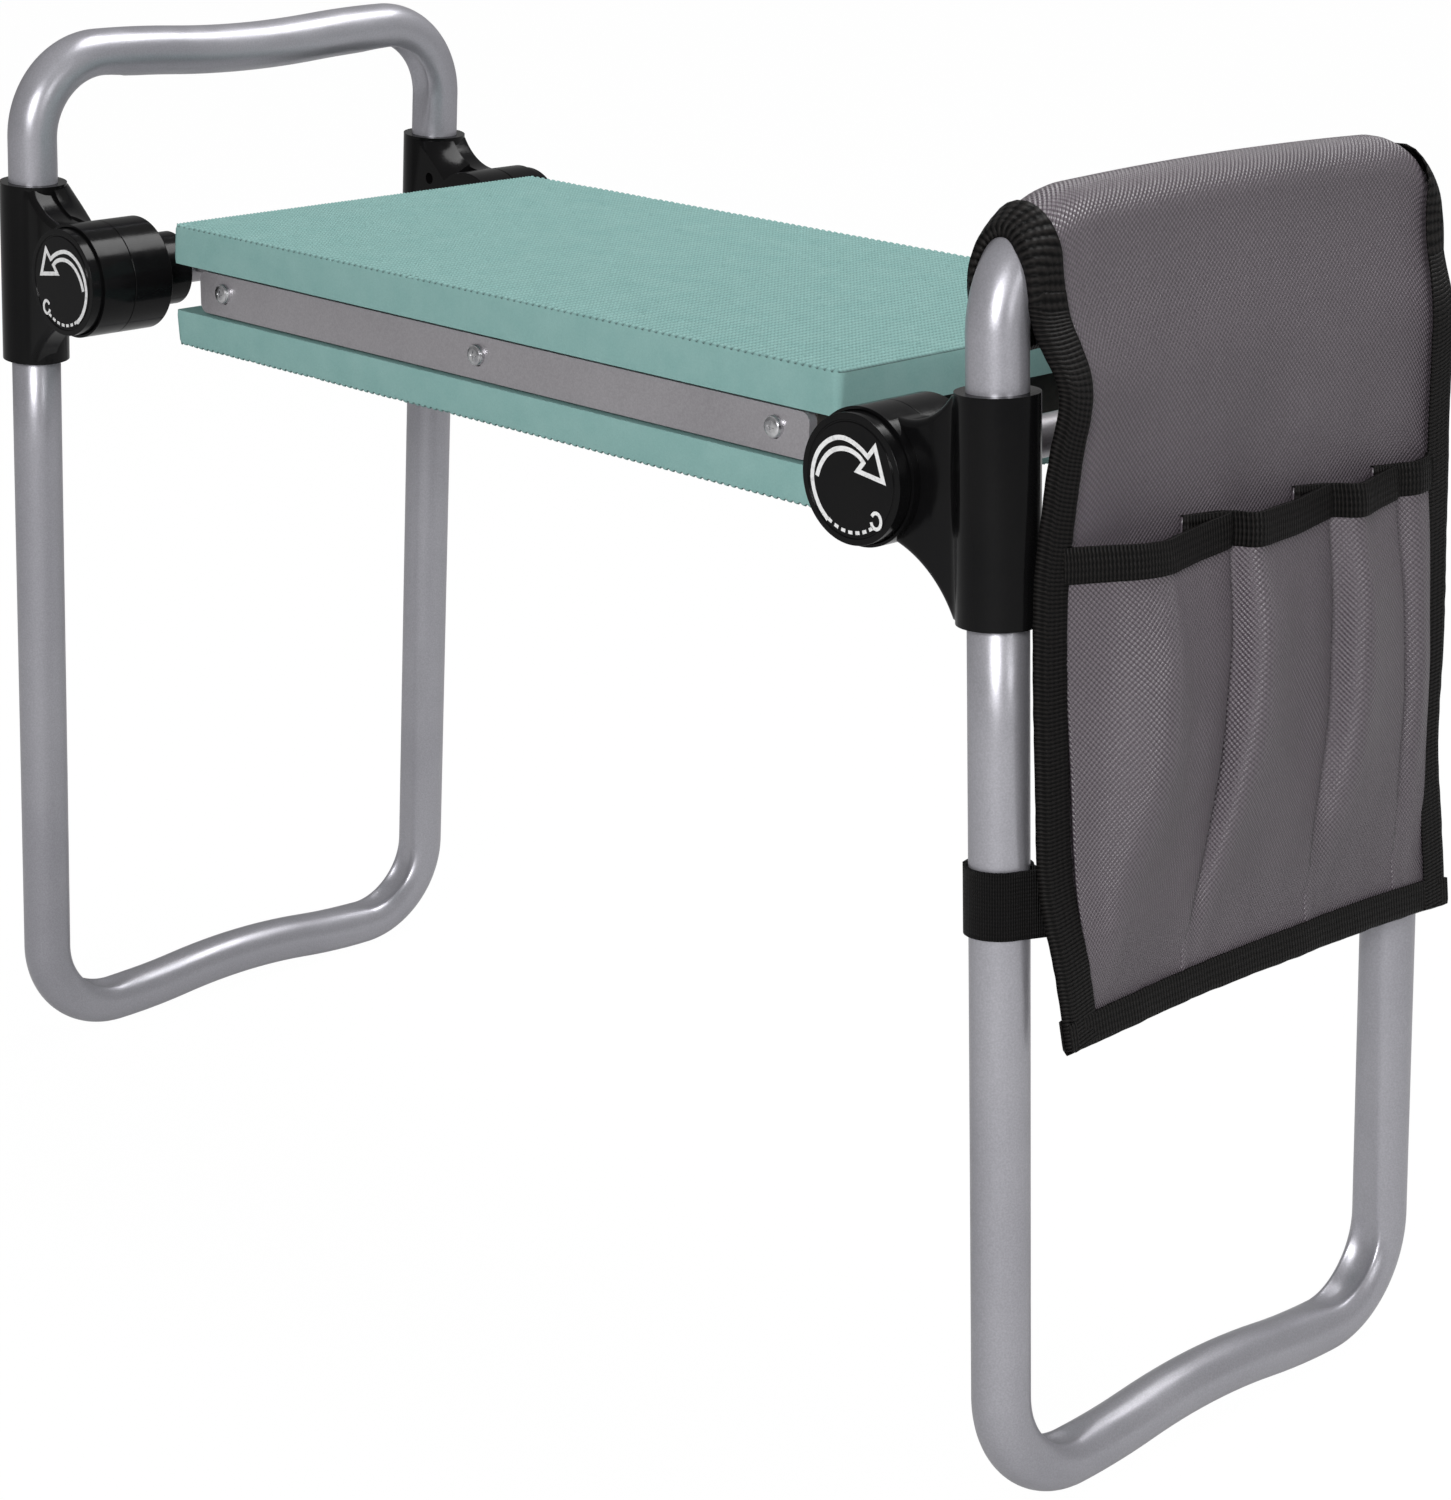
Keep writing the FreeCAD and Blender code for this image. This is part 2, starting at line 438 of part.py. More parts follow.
def draw_circle(sketch, radius, place=("0", "0")):
    centre = Vector(number(place[0]), number(place[1]), 0)
    shape = Part.Circle(centre, Vector(0, 0, 1), number(radius))
    circle = sketch.addGeometry(shape)
    pin(sketch, circle, 3, place)
    fix_radius(sketch, circle, radius)


def draw_path(sketch, corners, closed=True):
    # Each corner is (x, y), or (x, y, radius, turn) where the side that leaves it is
    # an arc with its centre on the left (turn 1) or the right (turn -1).
    points = [Vector(number(c[0]), number(c[1]), 0) for c in corners]
    count = len(corners) if closed else len(corners) - 1
    ends = []
    for i in range(count):
        a, b = points[i], points[(i + 1) % len(points)]
        if len(corners[i]) == 2:
            side = sketch.addGeometry(Part.LineSegment(a, b))
            ends.append((side, 1, 2))
            continue
        radius, turn = number(corners[i][2]), corners[i][3]
        half = (b - a) / 2
        reach = math.sqrt(max(radius ** 2 - half.Length ** 2, 0.0))
        across = Vector(-half.y, half.x, 0).normalize()
        centre = a + half + across * reach * turn
        first, last = (a, b) if turn > 0 else (b, a)
        start = math.atan2(first.y - centre.y, first.x - centre.x)
        stop = math.atan2(last.y - centre.y, last.x - centre.x)
        circle = Part.Circle(centre, Vector(0, 0, 1), radius)
        side = sketch.addGeometry(Part.ArcOfCircle(circle, start, stop))
        ends.append((side, 1, 2) if turn > 0 else (side, 2, 1))
        fix_radius(sketch, side, corners[i][2])
    for i, (side, start, stop) in enumerate(ends):
        pin(sketch, side, start, corners[i][:2])
        if i + 1 < len(ends):
            follower = ends[i + 1]
        elif closed:
            follower = ends[0]
        else:
            pin(sketch, side, stop, corners[-1][:2])
            continue
        joint = Sketcher.Constraint("Coincident", side, stop, follower[0], follower[1])
        sketch.addConstraint(joint)


def feature(body, kind, name, sketch, length, reverse=False):
    made = body.newObject("PartDesign::" + kind, name)
    made.Profile = sketch
    if length == "through":
        made.Type = 1
    else:
        made.Length = number(length)
        bind(made, "Length", length)
    made.Reversed = reverse
    sketch.Visibility = False
    return made


def ring_of(body, made, count):
    # Repeats a feature round the hinge axis.
    pattern = body.newObject("PartDesign::PolarPattern", made.Name + "_ring")
    pattern.Originals = [made]
    axis = [f for f in body.Origin.OriginFeatures if f.Role == "Y_Axis"][0]
    pattern.Axis = (axis, [""])
    pattern.Angle = 360
    pattern.Occurrences = count
    body.Tip = pattern
    return pattern


def place_on_frame(thing):
    # The leg frame turns about the hinge axis and leans outwards by the splay.
    thing.Placement = Placement(
        Vector(number("pivot_x"), 0, number("pivot_height")),
        Rotation(Vector(0, -1, 0), number("splay_angle")),
    )
    bind(thing, "Placement.Base.x", "pivot_x")
    bind(thing, "Placement.Base.z", "pivot_height")
    bind(thing, "Placement.Rotation.Angle", "splay_angle")


def place_on_hinge(thing):
    thing.Placement.Base = Vector(number("pivot_x"), 0, number("pivot_height"))
    bind(thing, "Placement.Base.x", "pivot_x")
    bind(thing, "Placement.Base.z", "pivot_height")


def mirrored(source, label, normal):
    twin = doc.addObject("Part::Mirroring", label)
    twin.Label = label
    twin.Source = source
    twin.Normal = normal
    return twin


pieces = []


def keep(*things):
    pieces.extend(things)


def keep_four(source, name):
    # A right front piece and its twins in the other three corners.
    right_back = mirrored(source, "right_back_" + name, Vector(0, 1, 0))
    left_front = mirrored(source, "left_front_" + name, Vector(1, 0, 0))
    left_back = mirrored(left_front, "left_back_" + name, Vector(0, 1, 0))
    keep(source, right_back, left_front, left_back)


def keep_ends(source, name):
    keep(source, mirrored(source, "left_" + name, Vector(1, 0, 0)))


teeth = 12
pegs = 3


def rounded(body, name, radius, wanted):
    # Rounds the edges of the body so far that wanted(edge, box) picks.
    doc.recompute()
    tip = body.Tip
    edges = ["Edge%d" % i for i, edge in enumerate(tip.Shape.Edges, start=1)
             if wanted(edge, edge.BoundBox)]
    made = body.newObject("PartDesign::Fillet", name)
    made.Base = (tip, edges)
    made.Radius = number(radius)
    bind(made, "Radius", radius)
    tip.Visibility = False
    body.Tip = made
    return made


def add_spline(body, kind, name, face, length, root, tip, half, reverse):
    # A round with square teeth: a disc or pit, then one tooth repeated round it.
    disc = new_sketch(body, name + "_round", "XZ_Plane", face)
    draw_circle(disc, root)
    feature(body, kind, name, disc, length, reverse)
    tooth = new_sketch(body, name + "_tooth_outline", "XZ_Plane", face)
    draw_path(tooth, [("-" + half, "peg_place"), (half, "peg_place"), (half, tip), ("-" + half, tip)])
    ring_of(body, feature(body, kind, name + "_tooth", tooth, length, reverse), teeth)


def make_hub():
    body = new_body("right_front_hub")
    drum = new_sketch(body, "drum_outline", "XZ_Plane", "hub_inner")
    draw_circle(drum, "hub_radius")
    feature(body, "Pad", "drum", drum, "hub_solid")
    neck = new_sketch(body, "neck_outline", "XZ_Plane", "neck_inner")
    draw_circle(neck, "neck_radius")
    feature(body, "Pad", "neck", neck, "neck_length")
    add_spline(body, "Pocket", "socket", "hub_face", "hub_pit",
               "socket_root", "socket_tip", "socket_tooth", False)
    bolt = new_sketch(body, "bolt_hole_outline", "XZ_Plane", "hub_face")
    draw_circle(bolt, "bolt_hole")
    feature(body, "Pocket", "bolt_hole", bolt, "hub_solid")
    bore = new_sketch(body, "neck_bore_outline", "XZ_Plane", "neck_inner")
    draw_circle(bore, "neck_bore")
    feature(body, "Pocket", "neck_hollow", bore, "neck_length", True)
    place_on_hinge(body)
    return body


def make_gear():
    body = new_body("right_front_lock_gear")
    add_spline(body, "Pad", "gear", "gear_back", "gear_length",
               "spline_root", "spline_tip", "gear_tooth", False)
    bore = new_sketch(body, "gear_bore_outline", "XZ_Plane", "gear_face")
    draw_circle(bore, "gear_bore_radius")
    feature(body, "Pocket", "gear_hollow", bore, "through")
    place_on_hinge(body)
    return body



def make_spring():
    # Coil round the hinge bolt, between the hub's floor and the released gear.
    body = new_body("right_front_spring")
    wire = new_sketch(body, "wire_outline", "XY_Plane")
    draw_path(wire, [("spring_in", "-spring_foot"), ("spring_out", "-spring_foot"),
                     ("spring_out", "-spring_top"), ("spring_in", "-spring_top")])
    coil = body.newObject("PartDesign::AdditiveHelix", "coil")
    coil.Profile = wire
    axis = [f for f in body.Origin.OriginFeatures if f.Role == "Y_Axis"][0]
    coil.ReferenceAxis = (axis, [""])
    coil.Mode = 0
    coil.Pitch = number("spring_pitch")
    coil.Height = number("spring_height")
    bind(coil, "Pitch", "spring_pitch")
    bind(coil, "Height", "spring_height")
    coil.Reversed = True
    wire.Visibility = False
    place_on_hinge(body)
    return body


def make_bolt():
    body = new_body("right_front_bolt")
    head = new_sketch(body, "head_outline", "XZ_Plane", "head_seat")
    draw_circle(head, "head_radius")
    feature(body, "Pad", "head", head, "bolt_head_length")
    shank = new_sketch(body, "shank_outline", "XZ_Plane", "head_seat")
    draw_circle(shank, "bolt_radius")
    feature(body, "Pad", "shank", shank, "bolt_length", True)
    place_on_hinge(body)
    return body


def make_nut():
    body = new_body("right_front_nut")
    flats = new_sketch(body, "flats_outline", "XZ_Plane", "nut_base")
    draw_path(flats, [("0", "nut_point"), ("-nut_flat", "nut_low"), ("-nut_flat", "-nut_low"),
                      ("0", "-nut_point"), ("nut_flat", "-nut_low"), ("nut_flat", "nut_low")])
    feature(body, "Pad", "flats", flats, "nut_length")
    hole = new_sketch(body, "hole_outline", "XZ_Plane", "nut_base")
    draw_circle(hole, "bolt_hole")
    feature(body, "Pocket", "hole", hole, "nut_length", True)
    place_on_hinge(body)
    return body


def make_button():
    body = new_body("right_front_button")
    cap = new_sketch(body, "cap_outline", "XZ_Plane", "button_rear")
    draw_circle(cap, "button_radius")
    feature(body, "Pad", "cap", cap, "button_length")
    hollow = new_sketch(body, "hollow_outline", "XZ_Plane", "button_rear")
    draw_circle(hollow, "button_inner")
    feature(body, "Pocket", "hollow", hollow, "button_open", True)
    groove = new_sketch(body, "groove_outline", "XZ_Plane", "button_face")
    draw_circle(groove, "groove_inner")
    draw_circle(groove, "groove_outer")
    feature(body, "Pocket", "groove", groove, "groove_depth")
    peg = new_sketch(body, "peg_outline", "XZ_Plane", "peg_end")
    draw_circle(peg, "peg_radius", ("0", "peg_place"))
    ring_of(body, feature(body, "Pad", "peg", peg, "peg_length"), pegs)
    place_on_frame(body)
    return body


def make_bracket():
    body = new_body("right_front_bracket")
    boss = new_sketch(body, "boss_outline", "XZ_Plane", "seam_y")
    draw_circle(boss, "hub_radius")
    feature(body, "Pad", "boss", boss, "boss_length")
    web = new_sketch(body, "web_outline", "XZ_Plane", "web_back")
    draw_path(web, [
        ("web_top_x", "web_top_z", "web_top_round", 1),
        ("web_right", "web_high"),
        ("tube_offset", "web_high"),
        ("tube_offset", "web_low"),
        ("web_right", "web_low", "web_low_round", 1),
        ("web_low_x", "-web_low_z"),
    ])
    feature(body, "Pad", "web", web, "web_thickness")
    face = -number("web_face")
    rounded(body, "web_edges", "web_round", lambda edge, box:
            box.YLength < 0.01 and abs(box.YMin - face) < 0.01
            and box.XLength > number("cheek_gap") and edge.Curve.TypeId == "Part::GeomCircle"
            and edge.Curve.Radius > number("hub_radius") + number("web_step"))
    cheek = new_sketch(body, "cheek_outline", "XZ_Plane", "cheek_face")
    draw_path(cheek, [
        ("cheek_edge", "web_high"), ("cheek_edge", "cheek_turn", "cheek_round", -1),
        ("cheek_edge", "-cheek_turn"), ("cheek_edge", "-cheek_drop"),
        ("tube_offset", "-cheek_drop"), ("tube_offset", "web_high"),
    ])
    feature(body, "Pad", "cheek", cheek, "cheek_length")
    sleeve = new_sketch(body, "sleeve_outline", "XY_Plane", "sleeve_base")
    draw_circle(sleeve, "sleeve_radius", ("tube_offset", "-leg_y"))
    feature(body, "Pad", "sleeve", sleeve, "sleeve_length")
    rounded(body, "flank", "flank_round", lambda edge, box:
            box.ZLength > number("sleeve_length") / 2 and box.XLength + box.YLength < 0.01
            and abs(box.YMin - face) < 0.01 and box.XMin > number("cheek_edge"))
    bore = new_sketch(body, "sleeve_bore_outline", "XY_Plane", "sleeve_up")
    draw_circle(bore, "sleeve_bore", ("tube_offset", "-leg_y"))
    feature(body, "Pocket", "sleeve_hollow", bore, "through")
    add_spline(body, "Pocket", "socket", "seam_y", "socket_depth",
               "socket_root", "socket_tip", "socket_tooth", True)
    well = new_sketch(body, "well_outline", "XZ_Plane", "boss_face")
    draw_circle(well, "well_radius")
    feature(body, "Pocket", "button_well", well, "well_depth")
    screws = new_sketch(body, "screw_well_outline", "XZ_Plane", "cheek_face")
    draw_circle(screws, "well_end", ("well_reach", "well_rise"))
    draw_circle(screws, "well_end", ("well_reach", "-well_rise"))
    feature(body, "Pocket", "screw_wells", screws, "well_length", True)
    bolt = new_sketch(body, "bolt_hole_outline", "XZ_Plane", "web_floor")
    draw_circle(bolt, "bolt_hole")
    feature(body, "Pocket", "bolt_hole", bolt, "boss_length")
    peg = new_sketch(body, "peg_hole_outline", "XZ_Plane", "web_floor")
    draw_circle(peg, "peg_hole", ("0", "peg_place"))
    ring_of(body, feature(body, "Pocket", "peg_hole", peg, "boss_length"), pegs)
    place_on_frame(body)
    return body


def bend_torus(name, radius, side, dent_y, dent_z):
    torus = doc.addObject("Part::Torus", name)
    torus.Radius1 = number("dent_sweep")
    torus.Radius2 = number(radius)
    bind(torus, "Radius1", "dent_sweep")
    bind(torus, "Radius2", radius)
    y = dent_y if side > 0 else "-" + dent_y
    torus.Placement = Placement(
        Vector(number("tube_offset"), number(y), number(dent_z)), Rotation(Vector(0, 1, 0), 90)
    )
    bind(torus, "Placement.Base.x", "tube_offset")
    bind(torus, "Placement.Base.y", y)
    bind(torus, "Placement.Base.z", dent_z)
    return torus


def set_sizes(thing, **terms):
    for prop, term in terms.items():
        setattr(thing, prop, number(term))
        bind(thing, prop, term)


def put(thing, x, y, z, turn=None):
    thing.Placement = Placement(Vector(number(x), number(y), number(z)), turn or Rotation())
    for axis, term in zip("xyz", (x, y, z)):
        if term != "0":
            bind(thing, "Placement.Base." + axis, term)


def tube_arc(name, radius, bend, sweep, y, z, start):
    # Part of a ring in the plane of the tubes, counted from +Y towards +Z.
    ring = doc.addObject("Part::Torus", name)
    set_sizes(ring, Radius1=bend, Radius2=radius, Angle3=sweep)
    in_plane = Rotation(Vector(1, 1, 1), 120) * Rotation(Vector(0, 0, 1), start)
    put(ring, "tube_offset", y, z, in_plane)
    return ring


def u_bar(name, radius, end, leg_base, leg_length):
    # Two legs, two corners and the gently waved bar between them.
    legs = []
    for side, y in (("front", "-leg_y"), ("back", "leg_y")):
        leg = doc.addObject("Part::Cylinder", "%s_%s_leg" % (name, side))
        set_sizes(leg, Radius=radius, Height=leg_length)
        put(leg, "tube_offset", y, leg_base)
        legs.append(leg)
    up = end == "handle"
    turn = number(end + "_angle")
    bend = end + "_bend"
    flat, swing, angle = end + "_flat", end + "_swing", end + "_angle"
    arcs = [
        ("front_corner", bend, "quarter", "-" + flat, end + "_bend_top", 90 if up else 180),
        ("back_corner", bend, "quarter", flat, end + "_bend_top", 0 if up else 270),
        ("front_wave", swing, angle, "-" + flat, end + "_wave", 90 - turn if up else 270),
        ("back_wave", swing, angle, flat, end + "_wave", 90 if up else 270 - turn),
        ("middle", swing, end + "_angles", "0", end + "_middle", 270 - turn if up else 90 - turn),
    ]
    rings = [tube_arc("%s_%s" % (name, part), radius, line, sweep, y, z, start)
             for part, line, sweep, y, z, start in arcs]
    bar = doc.addObject("Part::MultiFuse", name + "_bar")
    bar.Shapes = legs + rings
    bar.Refine = True
    return bar


def pressed(name, bar, radius, dent_y, dent_z):
    # The bar less the grooves pressed into the inside of its two bends.
    for side in (-1, 1):
        cut = doc.addObject("Part::Cut", "%s_pressed_%d" % (name, side + 2))
        cut.Base = bar
        cut.Tool = bend_torus(name + "_dent_%d" % (side + 2), radius, side, dent_y, dent_z)
        bar = cut
    return bar


def make_tube(label, end, leg_base, leg_length, dent_y, dent_z):
    outside = u_bar(label + "_outside", "tube_radius", end, leg_base, leg_length)
    inside = u_bar(label + "_inside", "bore_radius", end, leg_base, leg_length)
    tube = doc.addObject("Part::Cut", label)
    tube.Label = label
    tube.Base = pressed(label + "_outside", outside, "dent_radius", dent_y, dent_z)
    tube.Tool = pressed(label + "_inside", inside, "dent_outer", dent_y, dent_z)
    place_on_frame(tube)
    return tube


def make_handle():
    return make_tube("right_handle_tube", "handle", "split_high", "handle_leg",
                     "handle_dent_y", "handle_dent_z")


def make_foot():
    return make_tube("right_foot_tube", "foot", "foot_bend_top", "foot_leg",
                     "foot_dent_y", "foot_dent_z")


def make_post(name, radius, base, height, x, y, turn=None):
    post = doc.addObject("Part::Cylinder", name)
    post.Radius = number(radius)
    post.Height = number(height)
    post.Placement = Placement(Vector(number(x), number(y), number(base)), turn or Rotation())
    bind(post, "Radius", radius)
    bind(post, "Height", height)
    for axis, term in zip("xyz", (x, y, base)):
        if term != "0":
            bind(post, "Placement.Base." + axis, term)
    return post


def make_spigots():
    tubes = []
    for name, y in (("front", "-leg_y"), ("back", "leg_y")):
        tube = doc.addObject("Part::Cut", name + "_spigot")
        tube.Base = make_post(name + "_spigot_bar", "spigot_radius", "spigot_base",
                              "spigot_length", "tube_offset", y)
        tube.Tool = make_post(name + "_spigot_bore", "spigot_bore", "spigot_base",
                              "spigot_length", "tube_offset", y)
        tubes.append(tube)
    pair = doc.addObject("Part::Compound", "right_tube_spigots")
    pair.Label = "right_tube_spigots"
    pair.Links = tubes
    place_on_frame(pair)
    return pair


def make_cross_tube():
    along = Rotation(Vector(1, 0, 0), 90)
    tube = doc.addObject("Part::Cut", "right_cross_tube")
    tube.Label = "right_cross_tube"
    tube.Base = make_post("cross_bar", "cross_radius", "pivot_height", "cross_length",
                          "pivot_x", "cross_end", along)
    tube.Tool = make_post("cross_bore", "cross_bore", "pivot_height", "cross_length",
                          "pivot_x", "cross_end", along)
    return tube


def make_arms():
    # Two flat bars from the board's slots, their ends hollowed to the cross tube.
    bars = []
    along = Rotation(Vector(1, 0, 0), 90)
    for name, y in (("front", "-arm_far_side"), ("back", "arm_side")):
        bar = doc.addObject("Part::Box", name + "_arm_bar")
        for prop, term in (("Length", "arm_length"), ("Width", "arm_width"),
                           ("Height", "arm_thickness")):
            setattr(bar, prop, number(term))
            bind(bar, prop, term)
        bar.Placement.Base = Vector(number("arm_start"), number(y), number("arm_base"))
        bind(bar, "Placement.Base.x", "arm_start")
        bind(bar, "Placement.Base.y", y)
        bind(bar, "Placement.Base.z", "arm_base")
        arm = doc.addObject("Part::Cut", name + "_arm")
        arm.Base = bar
        arm.Tool = make_post(name + "_arm_saddle", "arm_saddle", "pivot_height", "cross_length",
                             "pivot_x", "cross_end", along)
        bars.append(arm)
    pair = doc.addObject("Part::Compound", "right_arms")
    pair.Label = "right_arms"
    pair.Links = bars
    return pair


def round_block(body, name, end, side, end_flat, side_flat, corner, role, base, length):
    # A block with rounded corners.
    outline = new_sketch(body, name + "_outline", role, base)
    draw_path(outline, [
        ("-" + end_flat, "-" + side), (end_flat, "-" + side, corner, 1),
        (end, "-" + side_flat), (end, side_flat, corner, 1),
        (end_flat, side), ("-" + end_flat, side, corner, 1),
        ("-" + end, side_flat), ("-" + end, "-" + side_flat, corner, 1),
    ])
    return feature(body, "Pad", name, outline, length)


def place_on_seat(thing, height="pivot_height"):
    thing.Placement.Base = Vector(0, 0, number(height))
    bind(thing, "Placement.Base.z", height)


def make_pad(label, base, thickness):
    body = new_body(label)
    round_block(body, "foam", "pad_end", "pad_front", "pad_end_flat", "pad_front_flat",
                "pad_round", "XY_Plane", base, thickness)
    place_on_seat(body)
    return body


def draw_screw_row(sketch, radius):
    for x in ("-screw_spacing", "0", "screw_spacing"):
        draw_circle(sketch, radius, (x, "0"))


def make_board():
    body = new_body("seat_board")
    outline = new_sketch(body, "board_outline", "XY_Plane", "board_low")
    draw_path(outline, [("-board_end", "-board_front"), ("board_end", "-board_front"),
                        ("board_end", "board_front"), ("-board_end", "board_front")])
    feature(body, "Pad", "board", outline, "board_thickness")
    for name, end, reverse in (("right", "board_end", False), ("left", "-board_end", True)):
        slots = new_sketch(body, name + "_slot_outline", "YZ_Plane", end)
        for low, high in (("-arm_out", "-arm_in"), ("arm_in", "arm_out")):
            draw_path(slots, [(low, "-slot_half"), (high, "-slot_half"),
                              (high, "slot_half"), (low, "slot_half")])
        feature(body, "Pocket", name + "_slots", slots, "slot_depth", reverse)
    for name, face, reverse in (("front", "board_front", False), ("back", "-board_front", True)):
        pilots = new_sketch(body, name + "_pilot_outline", "XZ_Plane", face)
        for x in ("-screw_spacing", "0", "screw_spacing"):
            draw_circle(pilots, "pilot_radius", (x, "rail_rise"))
        feature(body, "Pocket", name + "_pilots", pilots, "screw_length", reverse)
    place_on_seat(body)
    return body


def make_rail():
    body = new_body("front_rail")
    round_block(body, "channel", "rail_end", "rail_half", "rail_end_flat", "rail_flat",
                "rail_round", "XZ_Plane", "board_front", "rail_depth")
    hollow = new_sketch(body, "hollow_outline", "XZ_Plane", "board_front")
    draw_path(hollow, [("-rail_in", "-rail_half_in"), ("rail_in", "-rail_half_in"),
                       ("rail_in", "rail_half_in"), ("-rail_in", "rail_half_in")])
    feature(body, "Pocket", "hollow", hollow, "rail_hollow", True)
    holes = new_sketch(body, "hole_outline", "XZ_Plane", "rail_face")
    draw_screw_row(holes, "rail_hole")
    feature(body, "Pocket", "holes", holes, "rail_depth")
    place_on_seat(body, "rail_height_place")
    return body


def make_rail_screws():
    body = new_body("front_rail_screws")
    heads = new_sketch(body, "head_outline", "XZ_Plane", "rail_face")
    draw_screw_row(heads, "screw_head_radius")
    feature(body, "Pad", "heads", heads, "screw_head_length")
    shanks = new_sketch(body, "shank_outline", "XZ_Plane", "rail_face")
    draw_screw_row(shanks, "screw_radius")
    feature(body, "Pad", "shanks", shanks, "screw_length", True)
    place_on_seat(body, "rail_height_place")
    return body


def make_pouch_panel():
    # One cloth: down the outside of the frame, over the handle, a short flap inside.
    body = new_body("pouch_panel")
    outline = new_sketch(body, "panel_outline", "XZ_Plane", "-pouch_side")
    draw_path(outline, [
        ("panel_in", "panel_end"),
        ("panel_in", "panel_knee"),
        ("arch_right", "handle_rise", "arch_in", 1),
        ("arch_left", "handle_rise"),
        ("arch_left", "flap_end"),
        ("arch_far_left", "flap_end"),
        ("arch_far_left", "handle_rise", "arch_out", -1),
        ("arch_far_right", "handle_rise"),
        ("panel_out", "panel_knee"),
        ("panel_out", "panel_end"),
    ])
    feature(body, "Pad", "panel", outline, "pouch_width")
    place_on_frame(body)
    return body


def make_pockets():
    body = new_body("pouch_pockets")
    front = new_sketch(body, "front_outline", "XY_Plane", "pocket_base")
    bulges = [("pocket_seam", pocket_seams[i], "pocket_round_%d" % (i + 1), 1)
              for i in range(len(pocket_seams) - 1)]
    draw_path(front, [("pocket_back", pocket_seams[0])] + bulges
              + [("pocket_seam", pocket_seams[-1]), ("pocket_back", pocket_seams[-1])])
    feature(body, "Pad", "front", front, "pocket_height")
    hollow = new_sketch(body, "hollow_outline", "XY_Plane", "pocket_mouth")
    for i in range(1, len(pocket_seams)):
        draw_path(hollow, [("pocket_back", "pocket_from_%d" % i, "pocket_hollow_%d" % i, 1),
                           ("pocket_back", "pocket_to_%d" % i)])
    feature(body, "Pocket", "hollows", hollow, "pocket_inside")
    place_on_frame(body)
    return body


def make_strap(label, side):
    y = "leg_y" if side > 0 else "-leg_y"
    ring = doc.addObject("Part::Cut", label + "_loop")
    ring.Base = make_post(label + "_outside", "strap_out", "strap_low", "strap_width",
                          "tube_offset", y)
    ring.Tool = make_post(label + "_inside", "strap_in", "strap_low", "strap_width",
                          "tube_offset", y)
    tab = doc.addObject("Part::Box", label + "_tab")
    for prop, term in (("Length", "tab_length"), ("Width", "strap_tab"), ("Height", "strap_width")):
        setattr(tab, prop, number(term))
        bind(tab, prop, term)
    tab_y = "tab_back" if side > 0 else "tab_side"
    tab.Placement.Base = Vector(number("tab_start"), number(tab_y), number("strap_low"))
    bind(tab, "Placement.Base.x", "tab_start")
    bind(tab, "Placement.Base.y", tab_y)
    bind(tab, "Placement.Base.z", "strap_low")
    strap = doc.addObject("Part::Fuse", label)
    strap.Label = label
    strap.Base = ring
    strap.Tool = tab
    place_on_frame(strap)
    return strap


def group_four(source, label):
    # Four identical fasteners, one at each hinge, kept as one group.
    twins = [source, mirrored(source, label + "_twin", Vector(0, 1, 0))]
    twins += [mirrored(twin, twin.Name + "_left", Vector(1, 0, 0)) for twin in twins]
    group = doc.addObject("Part::Compound", label)
    group.Label = label
    group.Links = twins
    return group


def keep_both_sides(source, name):
    keep(source, mirrored(source, "back_" + name, Vector(0, 1, 0)))


keep(make_board())
keep(make_pad("top_pad", "board_high", "top_pad_thickness"))
keep(make_pad("lower_pad", "lower_pad_base", "lower_pad_thickness"))
keep_both_sides(make_rail(), "rail")
keep_both_sides(make_rail_screws(), "rail_screws")
keep_ends(make_cross_tube(), "cross_tube")
keep_ends(make_arms(), "arms")
keep_four(make_hub(), "hub")
keep_four(make_gear(), "lock_gear")
keep_four(make_spring(), "spring")
keep(group_four(make_bolt(), "hinge_bolts"))
keep(group_four(make_nut(), "hinge_nuts"))
keep_four(make_bracket(), "bracket")
keep_four(make_button(), "button")
keep_ends(make_handle(), "handle_tube")
keep_ends(make_foot(), "foot_tube")
keep_ends(make_spigots(), "tube_spigots")
keep(make_pouch_panel(), make_pockets())
keep(make_strap("front_strap", -1), make_strap("back_strap", 1))

doc.recompute()
for thing in doc.Objects:
    if "Invalid" in thing.State or "Error" in thing.State:
        raise RuntimeError("%s failed: %s" % (thing.Name, thing.State))
os.makedirs("parts", exist_ok=True)
for piece in pieces:
    if piece.Shape.isNull() or not piece.Shape.isValid():
        raise RuntimeError("%s has no valid shape" % piece.Label)
for piece in pieces:
    piece.Shape.exportStep("parts/%s.step" % piece.Label)
    print("%-26s %2d solid(s) %10.0f mm3" % (piece.Label, len(piece.Shape.Solids), piece.Shape.Volume))
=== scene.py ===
import json
import math

import bmesh
import bpy
from mathutils import Matrix, Vector, noise

